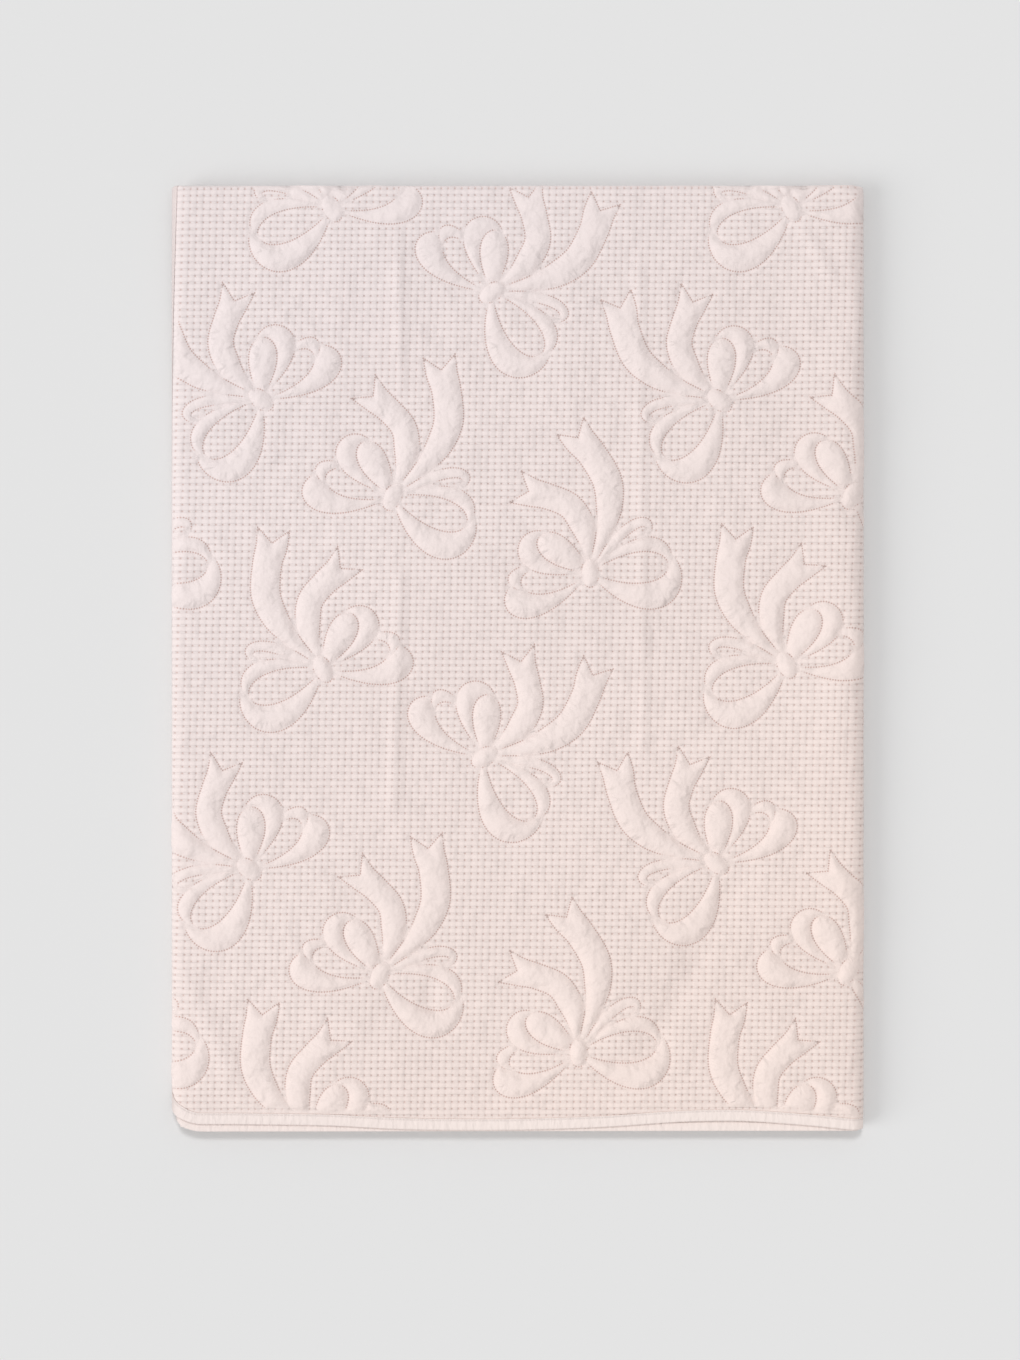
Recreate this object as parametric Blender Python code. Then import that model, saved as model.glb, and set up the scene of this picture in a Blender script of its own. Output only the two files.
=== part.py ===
"""A quilted bedspread with a bound edge, folded in half and then in thirds, lying flat.

X runs across the folded bedspread, Y up its length and Z up from the surface it lies on.
The cloth is laid out in two flat coordinates before it is folded: s runs across the width
of the cloth, starting where the top panel leaves the left side, and b runs along its
length, starting at the folded bedspread's bottom line. A third one, w, leads out of the
middle of the cloth, towards the outside of the first fold.
"""

import math

import bpy
import numpy as np
from mathutils import Vector
from mathutils.geometry import delaunay_2d_cdt

MM = 0.001

# Folded size, and the origin in the middle of its base
FOLDED_WIDTH = 732 * MM
FOLDED_LENGTH = 1000 * MM

# The cloth and how closely its layers lie
PLY = 3.2 * MM
PLY_GAP = 1.0 * MM
PANEL_GAP = 1.6 * MM
CORNER_RADIUS = 46 * MM
SHOULDER_RADIUS = 9 * MM
SIDE_CLEARANCE = 0.8 * MM
TUCK = 2 * MM

# The binding tape, and the cloth pressed thin inside it
TAPE_WIDTH = 11 * MM
TAPE_HALF = 1.55 * MM
TAPE_INSIDE = 1.0 * MM
TAPE_EDGE = 0.9 * MM
TAPE_EDGE_HALF = 0.8 * MM
SEAT_GAP = 0.3 * MM
PRESSED_HALF = TAPE_INSIDE - SEAT_GAP
PUFF_START = TAPE_WIDTH + 2.3 * MM

# Radii of the folds, to the middle of what is folded
HALF_RADIUS = (PLY + PLY_GAP) / 2
PANEL_HALF = HALF_RADIUS + PLY / 2
PANEL_PITCH = 2 * PANEL_HALF + PANEL_GAP
BOTTOM_Z = PANEL_HALF
MIDDLE_Z = BOTTOM_Z + PANEL_PITCH
TOP_Z = MIDDLE_Z + PANEL_PITCH
RIGHT_RADIUS = (TOP_Z - BOTTOM_Z) / 2
LEFT_RADIUS = (MIDDLE_Z - BOTTOM_Z) / 2

# Where the straight runs of the fold begin and end
SHOULDER_X = SHOULDER_RADIUS + PANEL_HALF - FOLDED_WIDTH / 2
RIGHT_X = FOLDED_WIDTH / 2 - RIGHT_RADIUS - PANEL_HALF
LEFT_X = SHOULDER_X - SHOULDER_RADIUS + 2 * PANEL_HALF + SIDE_CLEARANCE + LEFT_RADIUS
HALF_FOLD_Y = FOLDED_LENGTH / 2 - PANEL_HALF
FOLD_B = HALF_FOLD_Y + FOLDED_LENGTH / 2
TURN_B = math.pi * HALF_RADIUS
DROP = 20 * MM

# Steps of the round folds and corners, and the room kept free beside them
SHOULDER_STEPS = 4
SHOULDER_END = 3 * MM
RIGHT_STEPS = 6
LEFT_STEPS = 5
HALF_STEPS = 4
ARC_STEPS = 3
TUCKED_STEPS = 4
CORNER_ROOM = 10 * MM
FOLD_ROOM = 15 * MM
TUCKED_ROOM = 5 * MM

# x and how far the top layer's hem stays above the bottom line, in millimetres
HEM = (
    (-300.0, 9.4),
    (-198.0, 7.9),
    (-124.0, 4.2),
    (-18.0, 3.2),
    (87.0, 6.3),
    (172.0, 11.9),
    (235.0, 12.9),
    (298.0, 9.0),
    (330.0, 6.0),
)
HEM_AT_FOLD = 3.5 * MM
HEM_INSIDE = 6.0 * MM
LOWER_HEM = 0.9 * MM
LOWER_HEM_INSIDE = 4.0 * MM

# y and how far the left edge reaches down over the side, in millimetres
OVERHANG = (
    (-440.0, 25.2),
    (-380.0, 25.2),
    (-300.0, 25.2),
    (-150.0, 25.0),
    (0.0, 24.8),
    (150.0, 24.2),
    (250.0, 23.0),
    (340.0, 20.8),
    (420.0, 18.0),
    (465.0, 16.6),
    (485.0, 15.9),
)

# Broad rises of the stack: x, y, reach across, reach along in millimetres, and share of height
RISES = (
    (345.0, 95.0, 34.0, 430.0, 0.2),
    (300.0, -420.0, 60.0, 120.0, 0.05),
    (120.0, -330.0, 110.0, 150.0, 0.07),
    (60.0, 120.0, 160.0, 200.0, 0.06),
    (-180.0, 60.0, 120.0, 260.0, 0.05),
    (-230.0, -380.0, 110.0, 90.0, 0.05),
    (-20.0, -400.0, 60.0, 90.0, -0.04),
)
TOP_SINK = 0.11
TOP_SINK_REACH = 14 * MM

# Creases left from the packing: ends x, y, x, y, half width and height, all in millimetres
CREASES = (
    (-127.0, 470.0, -122.0, 260.0, 6.0, 1.2),
    (-124.0, 110.0, -132.0, -180.0, 6.0, 1.2),
    (128.0, 440.0, 133.0, -120.0, 6.0, 1.0),
    (-230.0, 160.0, 60.0, 166.0, 6.0, -0.9),
    (-60.0, 98.0, 180.0, 102.0, 6.0, -0.7),
    (-300.0, -18.0, -170.0, -20.0, 6.0, -0.8),
    (-120.0, -158.0, 90.0, -172.0, 6.0, -0.9),
    (247.0, -205.0, 128.0, -436.0, 16.0, -1.4),
    (-91.0, -310.0, -93.0, -400.0, 10.0, -1.2),
    (-360.0, -312.0, -290.0, -462.0, 12.0, 1.3),
    (285.0, 480.0, 345.0, 380.0, 7.0, 0.8),
)
CREASE_END = 40.0

# Quilted relief
RIBBON_PUFF = 2.6 * MM
RIBBON_REACH = 7 * MM
GROUND_PUFF = 0.7 * MM
GROUND_REACH = 5 * MM
RELIEF_FADE = 14 * MM
SEAM_STEP = 14 * MM
SHARP_BEND = 0.6
RIBBON_STEP = 9.9 * MM
RIBBON_CLEAR = 3.4 * MM
GROUND_STEP = 70 * MM
GROUND_CLEAR = 13 * MM
POINT_SPACE = 4.8 * MM
PANEL_MARGIN = 7 * MM

# Loops of a bow, lowest first: direction in degrees, length, width, taper, bend, filling
LOOPS = (
    (44.0, 84.0, 27.0, 1.2, -4.0, "ribbon"),
    (42.0, 76.0, 10.0, 3.0, -4.0, "ground"),
    (-5.0, 97.0, 66.0, 0.8, 0.0, "ribbon"),
    (14.0, 88.0, 46.0, 1.1, 0.0, "ribbon"),
    (6.0, 83.0, 33.0, 0.9, 0.0, "ground"),
    (202.0, 96.0, 44.0, 1.1, 0.0, "ribbon"),
    (185.0, 87.0, 29.0, 1.0, 0.0, "ribbon"),
    (189.0, 74.0, 29.0, 0.9, 0.0, "ground"),
    (157.0, 81.0, 43.0, 1.3, 0.0, "ribbon"),
    (145.0, 66.0, 30.0, 1.0, 0.0, "ribbon"),
)

# Tails of a bow: x, y and width of the ribbon, in millimetres from the knot
SHORT_TAIL = ((-1, 10, 7), (-2, 29, 17), (-8, 50, 26), (-21, 70, 27), (-43, 80, 27), (-62, 85, 30), (-79, 91, 36))
LONG_TAIL = ((4, 10, 8), (14, 40, 16), (20, 68, 27), (18, 97, 31), (2, 125, 31), (-11, 140, 33), (-21, 155, 34))
TAIL_NOTCH = 15.0
KNOT = (9.5, 15.5)
BOW_REACH = 165.0

# Bows that reach the top panel: x, y in millimetres, turn in degrees, mirrored or not
BOWS = (
    (-396.7, 585.3, 0.0, False),
    (-409.2, 90.3, 0.0, False),
    (-421.9, -415.5, 0.0, False),
    (89.3, 586.3, 0.0, False),
    (76.6, 90.3, 0.0, False),
    (64.4, -415.5, 0.0, False),
    (-131.5, 170.5, -26.0, False),
    (-145.2, -334.2, -26.0, False),
    (352.2, 171.6, -26.0, False),
    (348.0, -330.0, -26.0, False),
    (-26.9, 386.0, -58.0, False),
    (-34.8, -104.0, -58.0, False),
    (-53.4, -606.0, -58.0, False),
    (458.0, 387.0, -58.0, False),
    (445.3, -109.0, -58.0, False),
    (-195.9, 474.7, 27.0, True),
    (-205.4, -11.1, 27.0, True),
    (-216.0, -508.5, 27.0, True),
    (288.8, 474.7, 27.0, True),
    (283.5, -6.9, 27.0, True),
    (277.2, -508.5, 27.0, True),
    (-270.9, 273.0, 52.0, True),
    (-283.5, -222.3, 52.0, True),
    (212.8, 271.9, 52.0, True),
    (209.6, -216.0, 52.0, True),
)

# Colours, linear
CLOTH_COLOUR = (0.79, 0.66, 0.62, 1.0)
TAPE_COLOUR = (0.82, 0.70, 0.66, 1.0)
CLOTH_ROUGHNESS = 0.85
TAPE_ROUGHNESS = 0.7
SHARP_EDGE = math.radians(50)


class Run:
    """One stretch of the letter fold: straight, or turning right round an arc."""

    def __init__(self, start, point, heading, length, radius):
        self.start = start
        self.point = point
        self.heading = heading
        self.length = length
        self.radius = radius

    def at(self, s, out):
        along = s - self.start
        if not self.radius:
            x = self.point[0] + along * math.cos(self.heading)
            z = self.point[1] + along * math.sin(self.heading)
            return x - out * math.sin(self.heading), z + out * math.cos(self.heading)
        centre_x = self.point[0] + self.radius * math.sin(self.heading)
        centre_z = self.point[1] - self.radius * math.cos(self.heading)
        angle = self.heading - along / self.radius
        reach = self.radius + out
        return centre_x - reach * math.sin(angle), centre_z + reach * math.cos(angle)

    def next(self, length, radius):
        end = self.start + self.length
        turned = self.length / self.radius if self.radius else 0.0
        return Run(end, self.at(end, 0.0), self.heading - turned, length, radius)


def letter_fold():
    """The path of the folded pair of layers in X and Z, from the left edge to the tucked one."""
    shoulder = math.pi / 2 * SHOULDER_RADIUS
    lowest = (SHOULDER_X - SHOULDER_RADIUS, TOP_Z - SHOULDER_RADIUS - DROP)
    side = Run(-shoulder - DROP, lowest, math.pi / 2, DROP, 0.0)
    bend = side.next(shoulder, SHOULDER_RADIUS)
    top = bend.next(RIGHT_X - SHOULDER_X, 0.0)
    right = top.next(math.pi * RIGHT_RADIUS, RIGHT_RADIUS)
    bottom = right.next(RIGHT_X - LEFT_X, 0.0)
    left = bottom.next(math.pi * LEFT_RADIUS, LEFT_RADIUS)
    middle = left.next(RIGHT_X - TUCK - LEFT_X, 0.0)
    return side, bend, top, right, bottom, left, middle


RUNS = letter_fold()
SIDE, BEND, TOP, RIGHT, BOTTOM, LEFT, MIDDLE = RUNS
LAST_S = MIDDLE.start + MIDDLE.length


def smooth(value):
    value = min(max(value, 0.0), 1.0)
    return value * value * (3 - 2 * value)


def loft(x, y):
    """Share by which the whole stack stands higher or lower at a place."""
    share = 0.0
    for cx, cy, across, along, height in RISES:
        far = ((x / MM - cx) / across) ** 2 + ((y / MM - cy) / along) ** 2
        share += height * math.exp(-far)
    near_top = max(FOLDED_LENGTH / 2 - y, 0.0) / TOP_SINK_REACH
    return share - TOP_SINK * math.exp(-near_top)


def place(s, b, w, lift=0.0):
    """Where a point of the flat cloth comes to lie in the folded bedspread."""
    reach = HALF_RADIUS + w
    if b <= FOLD_B:
        y = b - FOLDED_LENGTH / 2
        out = reach
    elif b <= FOLD_B + TURN_B:
        angle = (b - FOLD_B) / HALF_RADIUS
        y = HALF_FOLD_Y + reach * math.sin(angle)
        out = reach * math.cos(angle)
    else:
        y = HALF_FOLD_Y - (b - FOLD_B - TURN_B)
        out = -reach
    run = RUNS[0]
    for later in RUNS[1:]:
        if s >= later.start:
            run = later
    x, z = run.at(s, out)
    return Vector((x, y, (z + lift) * (1 + loft(x, y))))


def overhang(y):
    """How far the left edge reaches past the start of the top panel."""
    return float(np.interp(y / MM, [row[0] for row in OVERHANG], [row[1] for row in OVERHANG])) * MM


def hem_inset(s, lower):
    """How far the hem at s stays above the bottom line."""
    if lower:
        return float(np.interp(s, [TOP.start, LAST_S], [LOWER_HEM, LOWER_HEM_INSIDE]))
    places = [TOP.start + row[0] * MM - SHOULDER_X for row in HEM] + [RIGHT.start, LAST_S]
    insets = [row[1] * MM for row in HEM] + [HEM_AT_FOLD, HEM_INSIDE]
    return float(np.interp(s, places, insets))


def lengthwise(y, lower):
    """The coordinate b of a place y, on the upper or the lower layer of the half fold."""
    return FOLD_B + TURN_B + HALF_FOLD_Y - y if lower else y + FOLDED_LENGTH / 2


def hem_b(s, inside, lower):
    """The coordinate b at a distance inside the hem."""
    return lengthwise(hem_inset(s, lower) + inside - FOLDED_LENGTH / 2, lower)


def turn_rows():
    return [FOLD_B + TURN_B * k / HALF_STEPS for k in range(HALF_STEPS + 1)]


def side_rows():
    """Rows b up the upper layer, round the half fold and down the lower layer."""
    upper = [lengthwise(y * MM, False) for y, _ in OVERHANG[1:]]
    lower = [lengthwise(y * MM, True) for y, _ in reversed(OVERHANG[1:])]
    return upper + turn_rows() + lower


def row_y(b):
    if b <= FOLD_B:
        return b - FOLDED_LENGTH / 2
    return min(HALF_FOLD_Y, HALF_FOLD_Y - (b - FOLD_B - TURN_B))


def run_stations(run):
    """Places along a straight run, at the x of the hem's stations."""
    forward = math.cos(run.heading) > 0
    places = []
    for row in HEM[1:]:
        along = (row[0] * MM - run.point[0]) * (1 if forward else -1)
        if FOLD_ROOM < along < run.length - FOLD_ROOM:
            places.append(run.start + along)
    return sorted(places)


def arc_stations(run, steps):
    return [run.start + run.length * k / steps for k in range(steps + 1)]


def shoulder_stations(y):
    """Places across the rounded left shoulder, from the puffed cloth's edge to the panel."""
    first = PUFF_START - overhang(y)
    return [first + (SHOULDER_END - first) * k / SHOULDER_STEPS for k in range(SHOULDER_STEPS + 1)]


CORNER_Y = OVERHANG[0][0] * MM
CORNER_S = CORNER_RADIUS - overhang(CORNER_Y)
TUCKED_S = LAST_S - CORNER_RADIUS


def corner_angles():
    """Angles round a left corner, set so that the shoulder's lines end on its arc."""
    inner = CORNER_RADIUS - PUFF_START
    angles = [math.acos(min((CORNER_S - s) / inner, 1.0)) for s in shoulder_stations(CORNER_Y)]
    rest = math.pi / 2 - angles[-1]
    return angles + [angles[-1] + rest * k / ARC_STEPS for k in range(1, ARC_STEPS + 1)]


def corner(centre_s, centre_b, radius, angles, side, end):
    """An arc from a side edge to a hem; side and end are -1 or 1, the ways the corner points."""
    return [(centre_s + side * radius * math.cos(a), centre_b + end * radius * math.sin(a)) for a in angles]


def hem_stations():
    places = [s for s in run_stations(TOP) if s > CORNER_S + CORNER_ROOM]
    places += arc_stations(RIGHT, RIGHT_STEPS) + run_stations(BOTTOM) + arc_stations(LEFT, LEFT_STEPS)
    return places + [s for s in run_stations(MIDDLE) if s < TUCKED_S - CORNER_ROOM]


def edge_loop(inside):
    """Points (s, b) round the bedspread, at a distance inside its edge."""
    radius = CORNER_RADIUS - inside
    left_angles = corner_angles()
    right_angles = [math.pi / 2 * k / TUCKED_STEPS for k in range(TUCKED_STEPS + 1)]
    corner_in = CORNER_RADIUS - FOLDED_LENGTH / 2
    rows = side_rows()
    left = [(inside - overhang(row_y(b)), b) for b in rows]
    right = [(LAST_S - inside, b) for b in reversed(rows)]
    loop = list(left)
    for lower in (True, False):
        end = 1 if lower else -1
        left_b = lengthwise(hem_inset(CORNER_S, lower) + corner_in, lower)
        right_b = lengthwise(hem_inset(TUCKED_S, lower) + corner_in, lower)
        near = corner(CORNER_S, left_b, radius, left_angles, -1, end)
        far = corner(TUCKED_S, right_b, radius, right_angles, 1, end)
        across = near + [(s, hem_b(s, inside, lower)) for s in hem_stations()] + far[::-1]
        loop += across if lower else across[::-1]
        if lower:
            loop += right
    return loop


def teardrop(direction, length, width, taper, bend, count=120):
    """A loop of ribbon from the knot, widest near its far end."""
    def across(angle):
        return math.sin(angle) * abs(math.sin(angle / 2)) ** taper

    peak = max(across(math.pi * k / 100) for k in range(100))
    turn = math.radians(direction)
    points = []
    for k in range(count):
        angle = 2 * math.pi * k / count
        x = length * (1 - math.cos(angle)) / 2
        y = width / 2 * across(angle) / peak + bend * (x / length) ** 2
        points.append((x * math.cos(turn) - y * math.sin(turn), x * math.sin(turn) + y * math.cos(turn)))
    return points


def spline(stations, steps=6):
    """A smooth line through stations of any number of columns."""
    rows = np.array(stations, float)
    padded = np.vstack([rows[0], rows, rows[-1]])
    line = []
    for p0, p1, p2, p3 in zip(padded, padded[1:], padded[2:], padded[3:]):
        for k in range(steps):
            t = k / steps
            bend = 2 * p0 - 5 * p1 + 4 * p2 - p3
            line.append(0.5 * (2 * p1 + (p2 - p0) * t + bend * t * t + (3 * p1 - p0 - 3 * p2 + p3) * t ** 3))
    return np.array(line + [rows[-1]])


def tail(stations):
    """A ribbon's end, widening from the knot to a swallow tail."""
    line = spline(stations)
    heading = np.gradient(line[:, :2], axis=0)
    heading /= np.linalg.norm(heading, axis=1)[:, None]
    normal = np.stack([-heading[:, 1], heading[:, 0]], axis=1)
    left = line[:, :2] + normal * line[:, 2:] / 2
    right = line[:, :2] - normal * line[:, 2:] / 2
    notch = line[-1, :2] - heading[-1] * TAIL_NOTCH
    return [tuple(p) for p in left] + [tuple(notch)] + [tuple(p) for p in right[::-1]]


def bow_shapes():
    """The bow's outlines, lowest first, with what fills each."""
    shapes = [(tail(SHORT_TAIL), "ribbon"), (tail(LONG_TAIL), "ribbon")]
    shapes += [(teardrop(*row[:5]), row[5]) for row in LOOPS]
    knot = [(KNOT[0] * math.cos(a), KNOT[1] * math.sin(a)) for a in np.linspace(0, 2 * math.pi, 28)[:-1]]
    return shapes + [(knot, "ribbon")]


def contains(outline, x, y):
    found = False
    for (x1, y1), (x2, y2) in zip(outline, outline[1:] + outline[:1]):
        if (y1 > y) != (y2 > y) and x < (x2 - x1) * (y - y1) / (y2 - y1) + x1:
            found = not found
    return found


def filling(shapes, x, y):
    for outline, kind in reversed(shapes):
        if contains(outline, x, y):
            return kind
    return "ground"


def thinned(run, step):
    """Points of a line about a step apart, with its ends and sharp corners kept."""
    kept = [run[0]]
    gone = 0.0
    for before, here, after in zip(run, run[1:], run[2:]):
        gone += math.dist(before, here)
        one = math.atan2(here[1] - before[1], here[0] - before[0])
        two = math.atan2(after[1] - here[1], after[0] - here[0])
        bend = abs(math.remainder(two - one, 2 * math.pi))
        if gone >= step or bend > SHARP_BEND:
            kept.append(here)
            gone = 0.0
    if gone < step / 2 and len(kept) > 1:
        kept.pop()
    return kept + [run[-1]]


def bow_seams(shapes):
    """The seams that no higher ribbon covers, as lines in the bow's own frame."""
    seams = []
    for level, (outline, _) in enumerate(shapes):
        closed = outline + outline[:1]
        higher = [other for other, _ in shapes[level + 1:]]
        line = []
        for point in closed:
            if any(contains(other, *point) for other in higher):
                if len(line) > 2:
                    seams.append(line)
                line = []
            else:
                line.append(point)
        if len(line) > 2:
            seams.append(line)
    return [thinned(line, SEAM_STEP / MM) for line in reversed(seams)]


def bow_places():
    """Every bow that reaches the top panel: x, y, turn and mirroring."""
    return [(x, y, math.radians(turn), mirrored) for x, y, turn, mirrored in BOWS]


def to_panel(point, bow):
    x, y, turn, mirrored = bow
    px = -point[0] if mirrored else point[0]
    cos, sin = math.cos(turn), math.sin(turn)
    return x + px * cos - point[1] * sin, y + px * sin + point[1] * cos


def from_panel(point, bow):
    x, y, turn, mirrored = bow
    dx, dy = point[0] - x, point[1] - y
    cos, sin = math.cos(turn), math.sin(turn)
    px = dx * cos + dy * sin
    return -px if mirrored else px, dy * cos - dx * sin


class Quilting:
    """The bows of the top panel: their seams, and the relief that they pull into it."""

    def __init__(self):
        self.shapes = bow_shapes()
        self.places = bow_places()
        local = bow_seams(self.shapes)
        self.seams = [[to_panel(p, bow) for p in seam] for bow in self.places for seam in local]
        ends = [(a, b) for seam in self.seams for a, b in zip(seam, seam[1:])]
        self.starts = np.array([a for a, _ in ends])
        self.spans = np.array([b for _, b in ends]) - self.starts
        self.squares = np.maximum((self.spans ** 2).sum(axis=1), 1e-9)

    def seam_distance(self, x, y):
        to_point = np.array((x, y)) - self.starts
        along = np.clip((to_point * self.spans).sum(axis=1) / self.squares, 0, 1)
        return float(np.linalg.norm(to_point - self.spans * along[:, None], axis=1).min())

    def filling(self, x, y):
        for bow in self.places:
            local = from_panel((x, y), bow)
            if math.hypot(*local) < BOW_REACH and filling(self.shapes, *local) == "ribbon":
                return "ribbon"
        return "ground"

    def relief(self, x, y):
        """Height over the seams, in metres, at a place in millimetres."""
        away = self.seam_distance(x, y) * MM
        ribbon = self.filling(x, y) == "ribbon"
        reach = RIBBON_REACH if ribbon else GROUND_REACH
        puff = RIBBON_PUFF if ribbon else GROUND_PUFF
        return puff * (1 - (1 - min(away / reach, 1.0)) ** 2)


def crease_relief(x, y):
    """Height of the packing creases, in metres, at a place in millimetres."""
    height = 0.0
    for x1, y1, x2, y2, width, tall in CREASES:
        span = (x2 - x1, y2 - y1)
        length = math.hypot(*span)
        along = ((x - x1) * span[0] + (y - y1) * span[1]) / length ** 2
        off = ((x - x1) * span[1] - (y - y1) * span[0]) / length
        ends = smooth(along * length / CREASE_END) * smooth((1 - along) * length / CREASE_END)
        height += tall * ends * math.exp(-(off / width) ** 2)
    return height * MM


class Net:
    """Points and lines in the flat cloth, kept apart from each other, for one triangulation."""

    def __init__(self):
        self.points = []
        self.lines = []
        self.index = {}

    def add(self, s, b):
        key = (round(s / MM, 3), round(b / MM, 3))
        if key not in self.index:
            self.index[key] = len(self.points)
            self.points.append((s, b))
        return self.index[key]

    def line(self, points):
        numbers = [self.add(*p) for p in points]
        self.lines += [pair for pair in zip(numbers, numbers[1:]) if pair[0] != pair[1]]

    def triangles(self):
        flat = [Vector((s / MM, b / MM)) for s, b in self.points]
        made = delaunay_2d_cdt(flat, self.lines, [], 1, 1e-4)
        points = [(p.x * MM, p.y * MM) for p in made[0]]
        for number, sources in enumerate(made[3]):
            if sources:
                points[number] = self.points[sources[0]]
        return points, [tuple(face) for face in made[2]]


def cloth_net(with_panel):
    """The cloth inside its edge strips; with_panel also fills the top panel's upper layer."""
    net = Net()
    ring = edge_loop(PUFF_START)
    net.line(ring + ring[:1])
    rows = side_rows()
    fixed = arc_stations(RIGHT, RIGHT_STEPS) + arc_stations(LEFT, LEFT_STEPS)
    free = run_stations(TOP) + run_stations(BOTTOM) + run_stations(MIDDLE)
    for s in fixed:
        net.line([(s, hem_b(s, PUFF_START, False))] + [(s, b) for b in rows] + [(s, hem_b(s, PUFF_START, True))])
    angles = corner_angles()
    inner = CORNER_RADIUS - PUFF_START
    for k in range(1, SHOULDER_STEPS + 1):
        line = [(shoulder_stations(row_y(b))[k], b) for b in rows]
        for lower in (False, True):
            centre = lengthwise(hem_inset(CORNER_S, lower) + CORNER_RADIUS - FOLDED_LENGTH / 2, lower)
            end = 1 if lower else -1
            low = corner(CORNER_S, centre, inner, [angles[k]], -1, end)[0]
            line = line + [low] if lower else [low] + line
        net.line(line)
    for b in turn_rows():
        crossing = shoulder_stations(row_y(b)) + sorted(fixed + free)
        net.line([(s, b) for s in crossing if s < LAST_S - PUFF_START] + [(LAST_S - PUFF_START, b)])
    for s in free:
        for b in rows:
            filled = with_panel and s < RIGHT.start and b < FOLD_B
            if not filled and s < LAST_S - PUFF_START - TUCKED_ROOM:
                net.add(s, b)
    return net


def in_panel(s, b, margin):
    """Whether a place lies in the top panel's upper layer, a margin inside it."""
    across = SHOULDER_END + margin < s < RIGHT.start - margin
    if not across or b > FOLD_B - margin:
        return False
    if b < hem_b(s, PUFF_START + margin, False):
        return False
    corner_b = lengthwise(hem_inset(CORNER_S, False) + CORNER_RADIUS - FOLDED_LENGTH / 2, False)
    if s < CORNER_S and b < corner_b:
        return math.hypot(s - CORNER_S, b - corner_b) < CORNER_RADIUS - PUFF_START - margin
    return True


def panel_sb(x, y):
    return TOP.start + x * MM - SHOULDER_X, y * MM + FOLDED_LENGTH / 2


def add_quilting(net, quilting):
    """Seams, ribbon points and ground points of the top panel, none too close to another."""
    kept = []

    def spot(x, y, space):
        s, b = panel_sb(x, y)
        if not in_panel(s, b, PANEL_MARGIN):
            return None
        for number, (px, py) in enumerate(kept):
            if math.hypot(px - x, py - y) < space / MM:
                return number
        kept.append((x, y))
        return len(kept) - 1

    lines = set()
    for seam in quilting.seams:
        numbers = [spot(x, y, POINT_SPACE) for x, y in seam]
        for one, two in zip(numbers, numbers[1:]):
            if one is not None and two is not None and one != two:
                lines.add((min(one, two), max(one, two)))
    for step, kind, clear in ((RIBBON_STEP, "ribbon", RIBBON_CLEAR), (GROUND_STEP, "ground", GROUND_CLEAR)):
        pitch = step / MM
        rows = int(FOLDED_LENGTH / step) + 1
        columns = int(FOLDED_WIDTH / step) + 1
        for row in range(rows):
            for column in range(columns):
                x = (column + 0.5 * (row % 2)) * pitch - FOLDED_WIDTH / MM / 2
                y = row * pitch - FOLDED_LENGTH / MM / 2
                if quilting.filling(x, y) == kind and quilting.seam_distance(x, y) > clear / MM:
                    spot(x, y, POINT_SPACE)
    numbers = [net.add(*panel_sb(x, y)) for x, y in kept]
    net.lines += [(numbers[one], numbers[two]) for one, two in sorted(lines)]


def panel_lift(s, b, quilting):
    """Quilted relief and creases of the top panel, faded out at its edges."""
    if not in_panel(s, b, 0.0):
        return 0.0
    x = (s - TOP.start + SHOULDER_X) / MM
    y = (b - FOLDED_LENGTH / 2) / MM
    edge = min(s - SHOULDER_END, RIGHT.start - s, FOLD_B - b, b - hem_b(s, PUFF_START, False))
    return smooth(edge / RELIEF_FADE) * (quilting.relief(x, y) + crease_relief(x, y))


class Shell:
    """A mesh that is put together from named points."""

    def __init__(self):
        self.points = []
        self.faces = []
        self.index = {}

    def point(self, s, b, w, lift=0.0):
        key = (round(s / MM, 3), round(b / MM, 3), round(w / MM, 3))
        if key not in self.index:
            self.index[key] = len(self.points)
            self.points.append(place(s, b, w, lift))
        return self.index[key]

    def face(self, one, two, three, four, from_two=False):
        """Two triangles, split from the first corner or from the second."""
        if from_two:
            self.faces += [(one, two, four), (two, three, four)]
        else:
            self.faces += [(one, two, three), (one, three, four)]

    def build(self, name, material):
        mesh = bpy.data.meshes.new(name)
        mesh.from_pydata([tuple(p) for p in self.points], [], self.faces)
        mesh.materials.append(material)
        mesh.validate()
        piece = bpy.data.objects.new(name, mesh)
        bpy.context.scene.collection.objects.link(piece)
        mesh.shade_smooth()
        mesh.set_sharp_from_angle(angle=SHARP_EDGE)
        return piece


def strip(shell, loop_a, loop_b, wa, wb, inwards=False):
    """Faces between two loops of matching points; inwards says that b lies further from the edge."""
    for k in range(len(loop_a)):
        after = (k + 1) % len(loop_a)
        shell.face(
            shell.point(*loop_a[k], wa),
            shell.point(*loop_a[after], wa),
            shell.point(*loop_b[after], wb),
            shell.point(*loop_b[k], wb),
            inwards,
        )


def make_quilt(material):
    """The folded cloth: its outer and inner face, closed round the edge."""
    shell = Shell()
    quilting = Quilting()
    outer = cloth_net(True)
    add_quilting(outer, quilting)
    inner = cloth_net(False)
    for net, side in ((outer, 1), (inner, -1)):
        points, faces = net.triangles()
        numbers = []
        for s, b in points:
            lift = panel_lift(s, b, quilting) if side == 1 else 0.0
            numbers.append(shell.point(s, b, side * PLY / 2, lift))
        for face in faces:
            shell.faces.append(tuple(numbers[n] for n in face[::side]))
    rings = [edge_loop(u) for u in (0.0, TAPE_WIDTH / 2, TAPE_WIDTH, PUFF_START)]
    halves = (PRESSED_HALF, PRESSED_HALF, PRESSED_HALF, PLY / 2)
    for near, far, near_half, far_half in zip(rings, rings[1:], halves, halves[1:]):
        strip(shell, far, near, far_half, near_half)
        strip(shell, near, far, -near_half, -far_half, True)
    strip(shell, rings[0], rings[0], PRESSED_HALF, -PRESSED_HALF)
    return shell.build("quilt", material)


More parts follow.
